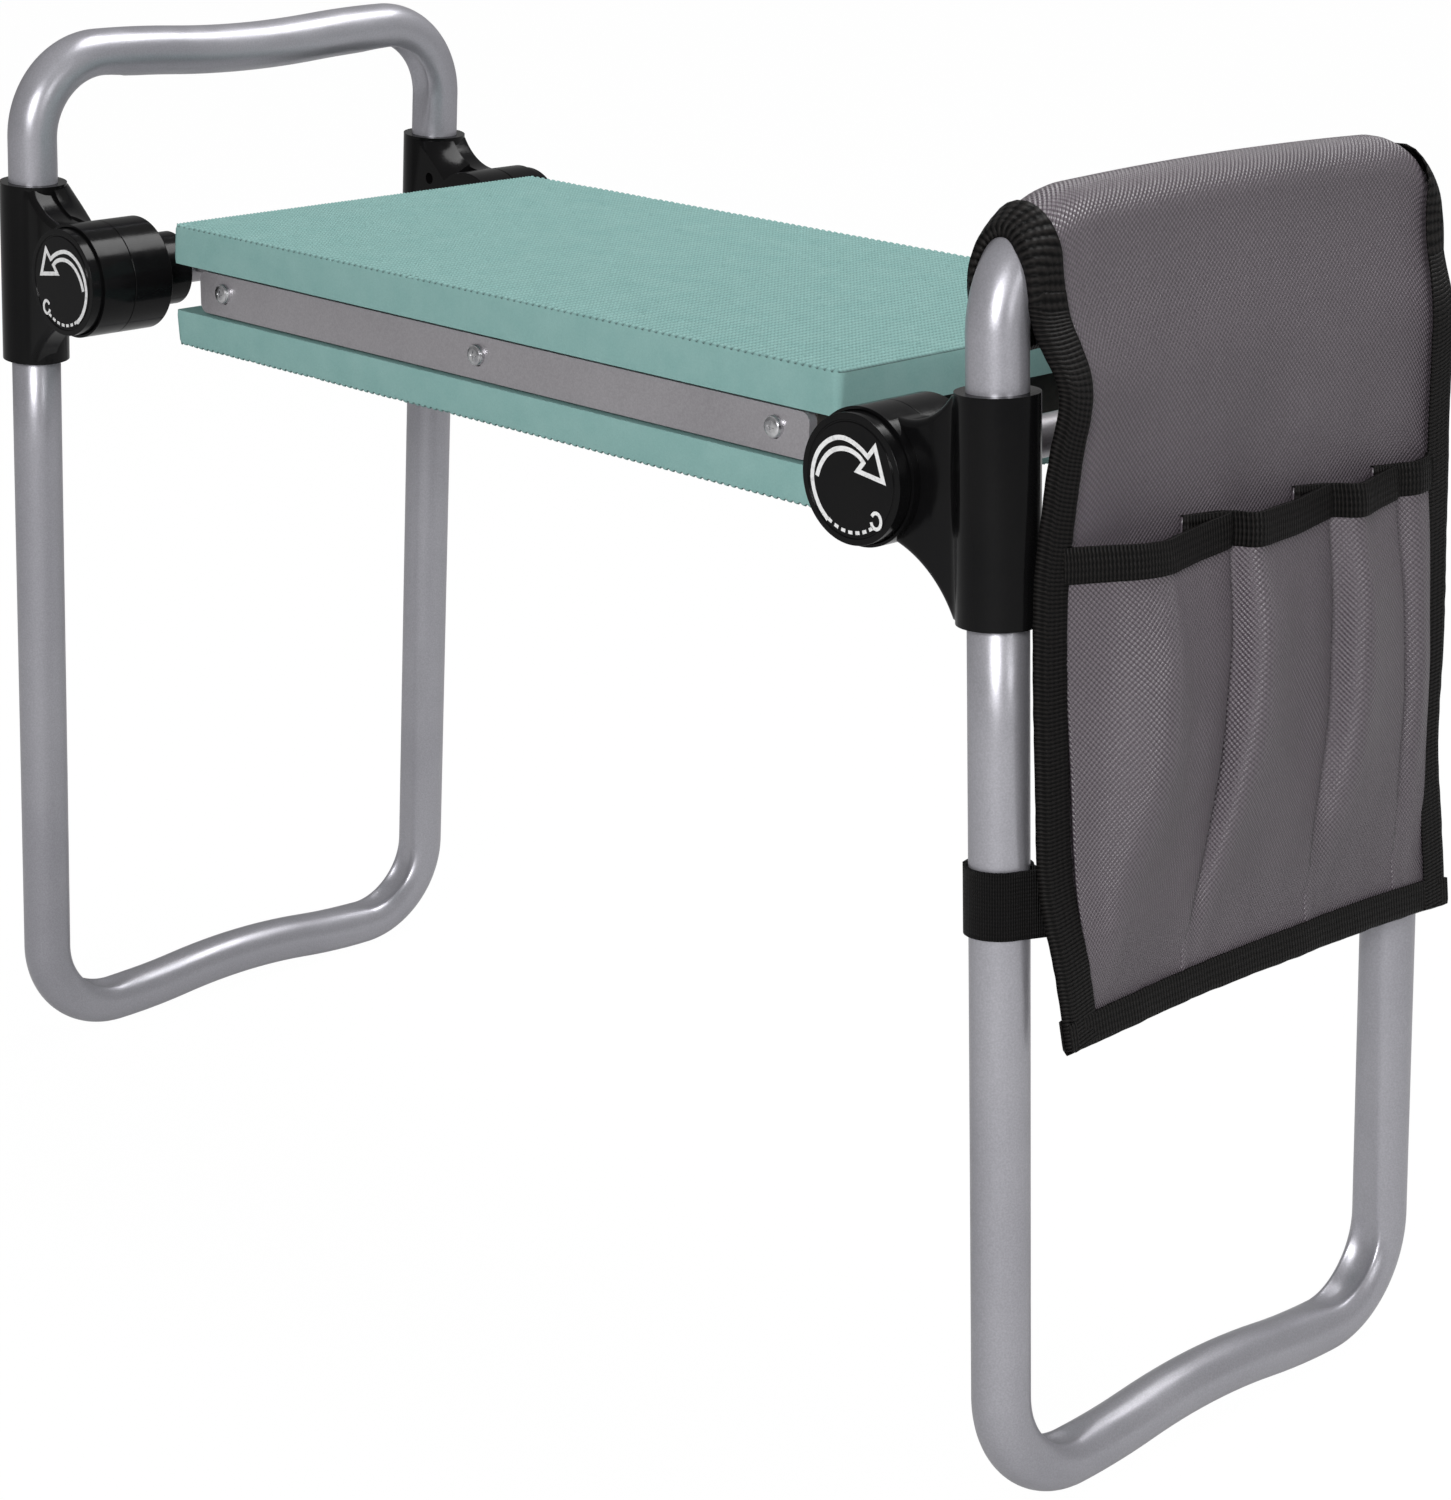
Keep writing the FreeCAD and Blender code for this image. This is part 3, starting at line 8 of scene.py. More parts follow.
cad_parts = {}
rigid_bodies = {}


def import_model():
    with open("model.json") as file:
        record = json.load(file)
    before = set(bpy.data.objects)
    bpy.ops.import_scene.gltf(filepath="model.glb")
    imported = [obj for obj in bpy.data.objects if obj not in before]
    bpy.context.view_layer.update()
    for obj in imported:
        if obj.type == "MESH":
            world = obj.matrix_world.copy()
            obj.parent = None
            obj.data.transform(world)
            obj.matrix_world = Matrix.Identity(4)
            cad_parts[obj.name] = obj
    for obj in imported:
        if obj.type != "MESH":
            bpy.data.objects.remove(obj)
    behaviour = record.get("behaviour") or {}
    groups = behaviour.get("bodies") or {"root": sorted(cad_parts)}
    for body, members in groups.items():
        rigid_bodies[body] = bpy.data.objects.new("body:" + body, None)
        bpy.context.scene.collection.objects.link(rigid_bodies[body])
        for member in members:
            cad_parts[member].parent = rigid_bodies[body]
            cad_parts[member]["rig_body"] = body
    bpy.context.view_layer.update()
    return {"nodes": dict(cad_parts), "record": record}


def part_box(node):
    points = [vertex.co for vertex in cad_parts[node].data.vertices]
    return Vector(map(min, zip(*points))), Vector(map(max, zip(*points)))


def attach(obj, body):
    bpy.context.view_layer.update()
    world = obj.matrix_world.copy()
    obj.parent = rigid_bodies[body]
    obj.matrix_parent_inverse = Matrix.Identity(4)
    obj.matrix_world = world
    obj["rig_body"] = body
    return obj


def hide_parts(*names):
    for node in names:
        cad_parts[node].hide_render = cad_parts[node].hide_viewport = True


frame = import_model()
print("frame loaded")

mm = 0.001

# where the seat hinges, and how far the leg frames lean out
hinge = {"x": 240.6, "z": 386.0, "lean": 3.0, "face": 136.5}

view = {"target": (0.04056, 0.0, 0.20848), "distance": 1.5215, "azimuth": 45.64,
        "elevation": 18.11, "roll": 0.733, "lens": 85.58, "sensor": 36.0, "near": 0.05, "far": 30.0}


def makeCamera():
    a, e = math.radians(view["azimuth"]), math.radians(view["elevation"])
    back = Vector((math.sin(a) * math.cos(e), -math.cos(a) * math.cos(e), math.sin(e)))
    camera = bpy.data.objects.new("camera", bpy.data.cameras.new("camera"))
    bpy.context.scene.collection.objects.link(camera)
    turn = back.to_track_quat("Z", "Y").to_matrix().to_4x4()
    place = Vector(view["target"]) + back * view["distance"]
    roll = Matrix.Rotation(math.radians(view["roll"]), 4, "Z")
    camera.matrix_world = Matrix.Translation(place) @ turn @ roll
    camera.data.lens = view["lens"]
    camera.data.sensor_width = view["sensor"]
    camera.data.clip_start, camera.data.clip_end = view["near"], view["far"]
    bpy.context.scene.camera = camera


makeCamera()


def newMaterial(name, color, roughness, metallic=0.0, specular=0.5):
    material = bpy.data.materials.new(name)
    material.use_nodes = True
    shader = material.node_tree.nodes["Principled BSDF"]
    shader.inputs["Base Color"].default_value = (*color, 1.0)
    shader.inputs["Roughness"].default_value = roughness
    shader.inputs["Metallic"].default_value = metallic
    shader.inputs["Specular IOR Level"].default_value = specular
    return material, material.node_tree, shader


def addNode(tree, kind, values=None, **settings):
    node = tree.nodes.new("ShaderNode" + kind)
    for key, value in settings.items():
        setattr(node, key, value)
    for key, value in (values or {}).items():
        node.inputs[key].default_value = value
    return node


def addNoise(tree, scale, detail=3.0, roughness=0.5, stretch=None):
    place = addNode(tree, "TexCoord")
    spread = addNode(tree, "Mapping")
    if stretch:
        spread.inputs["Scale"].default_value = stretch
    cloud = addNode(tree, "TexNoise", {"Scale": scale, "Detail": detail, "Roughness": roughness})
    tree.links.new(place.outputs["Object"], spread.inputs["Vector"])
    tree.links.new(spread.outputs["Vector"], cloud.inputs["Vector"])
    return cloud.outputs["Fac"]


def addRamp(tree, source, stops):
    ramp = addNode(tree, "ValToRGB")
    while len(ramp.color_ramp.elements) < len(stops):
        ramp.color_ramp.elements.new(0.5)
    for element, (position, color) in zip(ramp.color_ramp.elements, stops):
        element.position = position
        element.color = (*color, 1.0)
    tree.links.new(source, ramp.inputs["Fac"])
    return ramp.outputs["Color"]


def addRange(tree, source, low, high, newLow, newHigh):
    node = addNode(tree, "MapRange", {"From Min": low, "From Max": high,
                                      "To Min": newLow, "To Max": newHigh})
    tree.links.new(source, node.inputs["Value"])
    return node.outputs["Result"]


def addMath(tree, kind, first, second=None):
    node = addNode(tree, "Math", operation=kind)
    for slot, term in ((0, first), (1, second)):
        if isinstance(term, (int, float)):
            node.inputs[slot].default_value = term
        elif term is not None:
            tree.links.new(term, node.inputs[slot])
    return node.outputs[0]


def addMix(tree, amount, first, second, kind="MIX"):
    node = addNode(tree, "Mix", data_type="RGBA", blend_type=kind)
    if isinstance(amount, float):
        node.inputs[0].default_value = amount
    else:
        tree.links.new(amount, node.inputs[0])
    for slot, term in ((6, first), (7, second)):
        if isinstance(term, tuple):
            node.inputs[slot].default_value = (*term, 1.0)
        else:
            tree.links.new(term, node.inputs[slot])
    return node.outputs[2]


def addBump(tree, shader, height, strength, distance):
    bump = addNode(tree, "Bump", {"Strength": strength, "Distance": distance})
    tree.links.new(height, bump.inputs["Height"])
    tree.links.new(bump.outputs["Normal"], shader.inputs["Normal"])


def silverPaint(name, low, high):
    material, tree, shader = newMaterial(name, high, 0.34, 0.5)
    tint = addRamp(tree, addNoise(tree, 11.0, 4.0), [(0.3, low), (0.7, high)])
    speck = addNoise(tree, 1500.0, 2.0)
    glint = addRange(tree, speck, 0.35, 0.75, 0.92, 1.12)
    tree.links.new(addMix(tree, 1.0, tint, glint, "MULTIPLY"), shader.inputs["Base Color"])
    gloss = addRange(tree, addNoise(tree, 60.0, 5.0), 0.3, 0.7, 0.28, 0.40)
    tree.links.new(gloss, shader.inputs["Roughness"])
    addBump(tree, shader, speck, 0.10, 0.0002)
    return material


def glossPlastic(name, dark, pale, low, high):
    material, tree, shader = newMaterial(name, dark, low, 0.0, 0.13)
    shader.inputs["IOR"].default_value = 1.5
    tint = addRamp(tree, addNoise(tree, 25.0, 5.0, 0.6), [(0.35, dark), (0.75, pale)])
    tree.links.new(tint, shader.inputs["Base Color"])
    scuff = addNoise(tree, 140.0, 6.0, 0.7, (1.0, 1.0, 0.25))
    tree.links.new(addRange(tree, scuff, 0.35, 0.75, low, high), shader.inputs["Roughness"])
    addBump(tree, shader, addNoise(tree, 420.0, 3.0), 0.06, 0.0003)
    return material


def brightZinc(name):
    material, tree, shader = newMaterial(name, (0.55, 0.56, 0.58), 0.25, 1.0)
    cloud = addNoise(tree, 220.0, 4.0)
    tree.links.new(addRamp(tree, cloud, [(0.3, (0.38, 0.38, 0.40)), (0.65, (0.72, 0.72, 0.73))]),
                   shader.inputs["Base Color"])
    tree.links.new(addRange(tree, cloud, 0.3, 0.7, 0.18, 0.38), shader.inputs["Roughness"])
    addBump(tree, shader, addNoise(tree, 900.0, 2.0), 0.08, 0.0002)
    return material


def foamRubber(name, low, high):
    material, tree, shader = newMaterial(name, high, 0.82, 0.0, 0.25)
    cloud = addNoise(tree, 70.0, 7.0, 0.65)
    grain = addNoise(tree, 1300.0, 3.0, 0.6)
    tint = addRamp(tree, cloud, [(0.32, low), (0.68, high)])
    # the grain's own tone, then painted shade: the base colour goes near black along the rib grooves, a
    # little darker along the bump rows, and slightly lighter elsewhere
    grainAndPaintedShade = addRange(tree, grain, 0.3, 0.7, 0.95, 1.04)
    groove = addNode(tree, "Attribute", attribute_name="groove")
    deep = addRange(tree, groove.outputs["Fac"], 0.0, 1.0, 1.14, 0.02)
    grainAndPaintedShade = addMath(tree, "MULTIPLY", grainAndPaintedShade, deep)
    tree.links.new(addMix(tree, 1.0, tint, grainAndPaintedShade, "MULTIPLY"), shader.inputs["Base Color"])
    addBump(tree, shader, grain, 0.25, 0.0004)
    return material


def darkBoard(name):
    material, tree, shader = newMaterial(name, (0.03, 0.026, 0.024), 0.75)
    grain = addNoise(tree, 60.0, 6.0, 0.65, (0.15, 1.0, 1.0))
    tree.links.new(addRamp(tree, grain, [(0.3, (0.018, 0.016, 0.015)), (0.7, (0.06, 0.052, 0.046))]),
                   shader.inputs["Base Color"])
    addBump(tree, shader, grain, 0.3, 0.0006)
    return material


# size of one thread crossing, in metres
weave = {"thread": 0.00108, "depth": 0.0005}


def wovenCloth(name, low, high):
    material, tree, shader = newMaterial(name, high, 0.42, 0.0, 1.0)
    shader.inputs["Sheen Weight"].default_value = 0.06
    shader.inputs["Sheen Roughness"].default_value = 0.35
    surface = addNode(tree, "UVMap", uv_map="cloth")
    split = addNode(tree, "SeparateXYZ")
    tree.links.new(surface.outputs["UV"], split.inputs[0])
    turns = math.pi / weave["thread"]
    warp = addMath(tree, "SINE", addMath(tree, "MULTIPLY", split.outputs["X"], turns))
    weft = addMath(tree, "SINE", addMath(tree, "MULTIPLY", split.outputs["Y"], turns))
    knot = addMath(tree, "MULTIPLY", warp, weft)
    cloud = addRamp(tree, addNoise(tree, 18.0, 5.0, 0.6), [(0.3, low), (0.7, high)])
    # the weave's own pattern, with painted shade: the base colour is darker where the crossings sink and
    # lighter where they rise
    thread = addRange(tree, knot, -0.9, 0.9, 0.60, 1.28)
    tree.links.new(addMix(tree, 1.0, cloud, thread, "MULTIPLY"), shader.inputs["Base Color"])
    tree.links.new(addRange(tree, knot, -1.0, 1.0, 0.46, 0.30), shader.inputs["Roughness"])
    addBump(tree, shader, knot, 0.6, weave["depth"])
    return material


def ribbedWebbing(name, rib, low, high):
    material, tree, shader = newMaterial(name, high, 0.5, 0.0, 0.10)
    surface = addNode(tree, "UVMap", uv_map="cloth")
    split = addNode(tree, "SeparateXYZ")
    tree.links.new(surface.outputs["UV"], split.inputs[0])
    along = addMath(tree, "MULTIPLY", split.outputs["Y"], 2.0 * math.pi / rib)
    ribs = addMath(tree, "SINE", along)
    across = addMath(tree, "SINE", addMath(tree, "MULTIPLY", split.outputs["X"],
                                           2.0 * math.pi / (rib * 1.6)))
    yarn = addMath(tree, "ADD", ribs, addMath(tree, "MULTIPLY", across, 0.35))
    fuzz = addNoise(tree, 900.0, 4.0, 0.7)
    height = addMath(tree, "ADD", yarn, addMath(tree, "MULTIPLY", fuzz, 0.8))
    # painted shade and highlight: the base colour follows the rib height, dark in the valleys between ribs
    # and light on their crests, with the yarn's own fuzz tone mixed in
    tint = addRamp(tree, addRange(tree, height, -0.9, 1.7, 0.0, 1.0), [(0.2, low), (0.9, high)])
    tree.links.new(tint, shader.inputs["Base Color"])
    addBump(tree, shader, height, 0.7, 0.0004)
    return material


def whitePrint(name):
    material, tree, shader = newMaterial(name, (0.8, 0.8, 0.8), 0.45)
    ink = addRamp(tree, addNoise(tree, 700.0, 4.0),
                  [(0.25, (0.62, 0.62, 0.62)), (0.5, (0.86, 0.86, 0.86))])
    tree.links.new(ink, shader.inputs["Base Color"])
    return material


tubeSilver = silverPaint("tubeSilver", (0.36, 0.355, 0.39), (0.43, 0.425, 0.46))
railGrey = silverPaint("railGrey", (0.34, 0.325, 0.345), (0.40, 0.385, 0.405))
blackPlastic = glossPlastic("blackPlastic", (0.0040, 0.0040, 0.0044),
                            (0.0062, 0.0059, 0.0060), 0.13, 0.24)
lockNylon = glossPlastic("lockNylon", (0.02, 0.02, 0.022), (0.04, 0.04, 0.042), 0.4, 0.6)
foamGreen = foamRubber("foamGreen", (0.205, 0.368, 0.350), (0.235, 0.400, 0.380))
boardDark = darkBoard("boardDark")
zincSteel = brightZinc("zincSteel")
pouchCloth = wovenCloth("pouchCloth", (0.088, 0.071, 0.086), (0.108, 0.088, 0.105))
# the darker and lighter ends are painted shade in the rib valleys and painted highlight on the crests
webbingBlack = ribbedWebbing("webbingBlack", 0.0016, (0.0010, 0.0010, 0.0010),
                             (0.015, 0.0135, 0.013))
strapBlack = ribbedWebbing("strapBlack", 0.0009, (0.002, 0.002, 0.002), (0.012, 0.011, 0.011))
printWhite = whitePrint("printWhite")
print("materials ready")

finishes = {"foam": foamGreen, "board": boardDark, "rail_steel": railGrey, "tube_steel": tubeSilver,
            "black_plastic": blackPlastic, "lock_plastic": lockNylon, "zinc_steel": zincSteel,
            "pouch_cloth": pouchCloth, "webbing": webbingBlack}
slots = {row["node"]: row["material_slot"] for row in frame["record"]["subparts"]}
bodyOf = {name: node["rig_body"] for name, node in frame["nodes"].items()}


def onFrame(u, y, w, side=1):
    # a place on a leg frame, from mm: u outwards and w up from the hinge, y from front to back
    lean = math.radians(hinge["lean"])
    x = hinge["x"] + u * math.cos(lean) - w * math.sin(lean)
    z = hinge["z"] + u * math.sin(lean) + w * math.cos(lean)
    return Vector((side * x, y, z)) * mm


def smoothStep(low, high, value):
    t = min(max((value - low) / (high - low), 0.0), 1.0)
    return t * t * (3.0 - 2.0 * t)


def followLine(points, t):
    # a smooth line through the points, each (position, values...), read at t
    if t <= points[0][0]:
        return points[0][1:]
    for i in range(len(points) - 1):
        if t <= points[i + 1][0]:
            break
    a, b = points[i], points[i + 1]
    before, after = points[max(i - 1, 0)], points[min(i + 2, len(points) - 1)]
    span = b[0] - a[0]
    f = min((t - a[0]) / span, 1.0)
    values = []
    for k in range(1, len(a)):
        slopeA = (b[k] - before[k]) / (b[0] - before[0]) * span
        slopeB = (after[k] - a[k]) / (after[0] - a[0]) * span
        values.append((2 * f ** 3 - 3 * f ** 2 + 1) * a[k] + (f ** 3 - 2 * f ** 2 + f) * slopeA
                      + (3 * f ** 2 - 2 * f ** 3) * b[k] + (f ** 3 - f ** 2) * slopeB)
    return values


weldGap = 0.000002


def pullOut(bm, edges):
    # a new row drawn from these edges: its points, and its own edges
    made = bmesh.ops.extrude_edge_only(bm, edges=edges)["geom"]
    moved = [part for part in made if isinstance(part, bmesh.types.BMVert)]
    return moved, [part for part in made if isinstance(part, bmesh.types.BMEdge)
                   and all(vert in moved for vert in part.verts)]


def shadeFaces(bm, angle):
    for face in bm.faces:
        face.smooth = True
    if angle:
        for edge in bm.edges:
            edge.smooth = len(edge.link_faces) == 2 and edge.calc_face_angle(0.0) < math.radians(angle)


def meshObject(bm, name, material=None):
    mesh = bpy.data.meshes.new(name)
    bm.to_mesh(mesh)
    bm.free()
    piece = bpy.data.objects.new(name, mesh)
    bpy.context.scene.collection.objects.link(piece)
    if material:
        mesh.materials.append(material)
    return piece


def finishPiece(bm, name, body, material, replaces=(), angle=None):
    bmesh.ops.remove_doubles(bm, verts=bm.verts, dist=weldGap)
    bmesh.ops.recalc_face_normals(bm, faces=bm.faces)
    shadeFaces(bm, angle)
    piece = meshObject(bm, name, material)
    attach(piece, body)
    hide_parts(*replaces)
    return piece


def bevelEdges(piece, width):
    modifier = piece.modifiers.new("edges", "BEVEL")
    modifier.width = width
    modifier.segments = 2
    modifier.limit_method = "ANGLE"
    modifier.angle_limit = math.radians(32.0)
    modifier.harden_normals = True
    modifier.use_clamp_overlap = True


def thicken(piece, thickness, offset=0.0):
    modifier = piece.modifiers.new("wall", "SOLIDIFY")
    modifier.thickness = thickness
    modifier.offset = offset


# nodes whose solids are right as they are: joined up, edges softened, given their finish
edgeRound = {"bracket": 0.0007, "button": 0.00035, "hub": 0.0004, "rail": 0.0003, "arms": 0.0004,
             "board": 0.0006, "bolts": 0.0003, "nuts": 0.0003}
lipDrop = 2.6  # how far a rail's lower lip comes down onto the lower pad, in mm

# the bracket's cheek falls away from the sleeve's top in a hollow sweep: start, pull and end of
# that line on the inner face and beside the web, as (u, w)
sweep = {"inner": ((50.9, 33.1), (34.0, 25.0), (22.3, 13.0)),
         "outer": ((36.0, 33.1), (27.9, 22.1), (14.4, 22.3)),
         "from": 100.9, "to": 116.0, "round": 15.3, "clear": 50.0, "slices": 10, "points": 12}
well = {"old": (31.0, 21.5), "width": 3.4, "place": (36.0, 15.5), "radius": 2.7, "deep": 107.5,
        "before": 1.0, "sides": 24}


def sweepCutter(side, front):
    # the room above the sweep, in slices along Y that go round the sleeve
    bm = bmesh.new()
    rows = []
    for k in range(sweep["slices"] + 1):
        f = k / sweep["slices"]
        y = sweep["from"] + (sweep["to"] - sweep["from"]) * f
        points = [Vector(a).lerp(Vector(b), f) for a, b in zip(sweep["inner"], sweep["outer"])]
        beside = min(abs(y - tube["leg"]), sweep["round"])
        points[0].x = tube["offset"] - math.sqrt(sweep["round"] ** 2 - beside ** 2)
        line = []
        for j in range(sweep["points"] + 1):
            t = j / sweep["points"]
            line.append(points[0] * (1 - t) ** 2 + points[1] * (2 * t * (1 - t)) + points[2] * t * t)
        line += [Vector((points[k].x, sweep["clear"])) for k in (2, 0)]
        rows.append([bm.verts.new(onFrame(spot.x, front * y, spot.y, side)) for spot in line])
    for one, two in zip(rows, rows[1:]):
        for k in range(len(one)):
            bm.faces.new((one[k - 1], one[k], two[k], two[k - 1]))
    bm.faces.new(rows[0])
    bm.faces.new(rows[-1])
    # and the smaller screw well
    ring = []
    for y in (sweep["from"] - well["before"], well["deep"]):
        turns = [2.0 * math.pi * k / well["sides"] for k in range(well["sides"])]
        ring.append([bm.verts.new(onFrame(well["place"][0] + well["radius"] * math.cos(turn), front * y,
                                          well["place"][1] + well["radius"] * math.sin(turn), side))
                     for turn in turns])
        bm.faces.new(ring[-1])
    for k in range(well["sides"]):
        bm.faces.new((ring[0][k - 1], ring[0][k], ring[1][k], ring[1][k - 1]))
    bmesh.ops.recalc_face_normals(bm, faces=bm.faces)
    return meshObject(bm, "sweep_cut")


def sweptBracket(name):
    # a copy of the bracket with its cheek cut to the sweep, and its upper screw well moved clear
    side, front = 1 if name.startswith("right") else -1, -1 if "front" in name else 1
    cutter = sweepCutter(side, front)
    bm = bmesh.new()
    bm.from_mesh(frame["nodes"][name].data)
    bmesh.ops.remove_doubles(bm, verts=bm.verts, dist=weldGap)
    axis = onFrame(well["old"][0], 0.0, well["old"][1], side)
    reach = well["width"] * mm
    inWell = [face for face in bm.faces
              if all(math.hypot(vert.co.x - axis.x, vert.co.z - axis.z) < reach for vert in face.verts)]
    bmesh.ops.delete(bm, geom=inWell, context="FACES")
    bmesh.ops.holes_fill(bm, edges=[edge for edge in bm.edges if edge.is_boundary], sides=0)
    copy = meshObject(bm, "sweep_copy")
    cut = copy.modifiers.new("sweep", "BOOLEAN")
    cut.operation, cut.solver, cut.object = "DIFFERENCE", "EXACT", cutter
    bpy.context.view_layer.update()
    bm = bmesh.new()
    bm.from_object(copy, bpy.context.evaluated_depsgraph_get())
    for thing in (cutter, copy):
        mesh = thing.data
        bpy.data.objects.remove(thing)
        bpy.data.meshes.remove(mesh)
    return bm


def dressNode(name):
    if name.endswith("bracket"):
        bm = sweptBracket(name)
    else:
        bm = bmesh.new()
        bm.from_mesh(frame["nodes"][name].data)
    bmesh.ops.remove_doubles(bm, verts=bm.verts, dist=weldGap)
    if name.endswith("rail"):
        for vert in bm.verts:
            vert.co.z -= lipDrop * mm * (vert.co.z < railScrews["height"] * mm)
    bmesh.ops.dissolve_limit(bm, angle_limit=math.radians(0.6), verts=bm.verts, edges=bm.edges)
    width = next((edgeRound[key] for key in edgeRound if name.endswith(key)), None)
    shadeFaces(bm, 30.0)
    piece = meshObject(bm, name + "_look", finishes[slots[name]])
    if width:
        bevelEdges(piece, width)
    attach(piece, bodyOf[name])
    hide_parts(name)


tube = {"radius": 11.0, "wall": 1.2, "offset": 50.8, "leg": 116.7, "segments": 48,
        "bendSteps": 40, "crownSteps": 6, "legSteps": 4}
handle = {"start": -5.95, "bend": 35.0, "top": 88.4, "dip": 3.2}
foot = {"start": 6.05, "bend": 38.5, "top": 378.0, "dip": 4.8}
dent = {"radius": 8.0, "depth": 5.5, "sweep": 16.0, "soft": 1.6}


def turnTube(bm, ring, y, w, angle, steps):
    made = bmesh.ops.spin(bm, geom=ring, cent=(tube["offset"], y, w), axis=(1, 0, 0), dvec=(0, 0, 0),
                          angle=math.radians(angle), steps=steps, use_merge=False, use_duplicate=False)
    return [part for part in made["geom_last"] if isinstance(part, bmesh.types.BMEdge)]


def drawOut(bm, ring, length, steps):
    for step in range(steps):
        moved, ring = pullOut(bm, ring)
        bmesh.ops.translate(bm, verts=moved, vec=(0, 0, length / steps))
    return ring


def pressDents(bm, shape):
    # a soft groove pressed into the inside of each bend
    middle = shape["bend"] - tube["radius"] - dent["radius"] + dent["depth"] - dent["sweep"]
    reach = middle * math.sqrt(0.5)
    w = shape["top"] - shape["bend"] + reach
    for side in (-1, 1):
        y = side * (tube["leg"] - shape["bend"] + reach)
        for vert in bm.verts:
            across, dy, dw = vert.co.x - tube["offset"], vert.co.y - y, vert.co.z - w
            away = math.hypot(dy, dw)
            out = away - dent["sweep"]
            gap = math.hypot(out, across)
            if gap > dent["radius"] + 5 * dent["soft"] or away < 1.0:
                continue
            near = math.exp((gap - dent["radius"]) / dent["soft"])
            pushed = dent["radius"] + dent["soft"] * math.log1p(near)
            away = (dent["sweep"] + out * pushed / gap) / away
            vert.co = (tube["offset"] + across * pushed / gap, y + dy * away, w + dw * away)


def makeTube(name, shape, side, up):
    bm = bmesh.new()
    bmesh.ops.create_circle(bm, cap_ends=False, segments=tube["segments"], radius=tube["radius"])
    bmesh.ops.translate(bm, verts=bm.verts, vec=(tube["offset"], -tube["leg"], shape["start"]))
    flat = tube["leg"] - shape["bend"]
    bendTop = shape["top"] - shape["bend"]
    swing = (flat ** 2 + shape["dip"] ** 2) / (4 * shape["dip"])
    lean = math.degrees(2 * math.atan(shape["dip"] / flat))
    crown = tube["crownSteps"]
    ring = drawOut(bm, bm.edges[:], bendTop - shape["start"], tube["legSteps"])
    ring = turnTube(bm, ring, -flat, bendTop, -90, tube["bendSteps"])
    ring = turnTube(bm, ring, -flat, shape["top"] - swing, -lean, crown)
    ring = turnTube(bm, ring, 0, shape["top"] - shape["dip"] + swing, 2 * lean, 2 * crown)
    ring = turnTube(bm, ring, flat, shape["top"] - swing, -lean, crown)
    ring = turnTube(bm, ring, flat, bendTop, -90, tube["bendSteps"])
    drawOut(bm, ring, shape["start"] - bendTop, tube["legSteps"])
    pressDents(bm, shape)
    for vert in bm.verts:
        vert.co = onFrame(vert.co.x, vert.co.y, up * vert.co.z, side)
    piece = finishPiece(bm, name + "_look", bodyOf[name], tubeSilver, [name])
    thicken(piece, tube["wall"] * mm, -1.0)


for side, end in ((1, "right"), (-1, "left")):
    makeTube(end + "_handle_tube", handle, side, 1)
    makeTube(end + "_foot_tube", foot, side, -1)
print("tubes bent")

# ribs run across the pad; the groove's depth between them and its painted shade, the roughness, the wear
# near the edges, and the rows down the side: in mm if over 1, else as a share, and how far out
pad = {"ribs": 109, "columns": 3, "bumps": 109, "rows": 2, "ribDepth": 1.5, "bumpDepth": 0.55,
       "bumpPaintedShade": 0.12, "corner": 4.0, "rough": 0.12, "worn": 0.9, "wornEdge": 2.0, "wave": 0.25,
       "side": ((1.3, 0.15), (2.4, 0.45), (0.5, 0.5), (0.85, 0.35), (1.0, -0.3))}


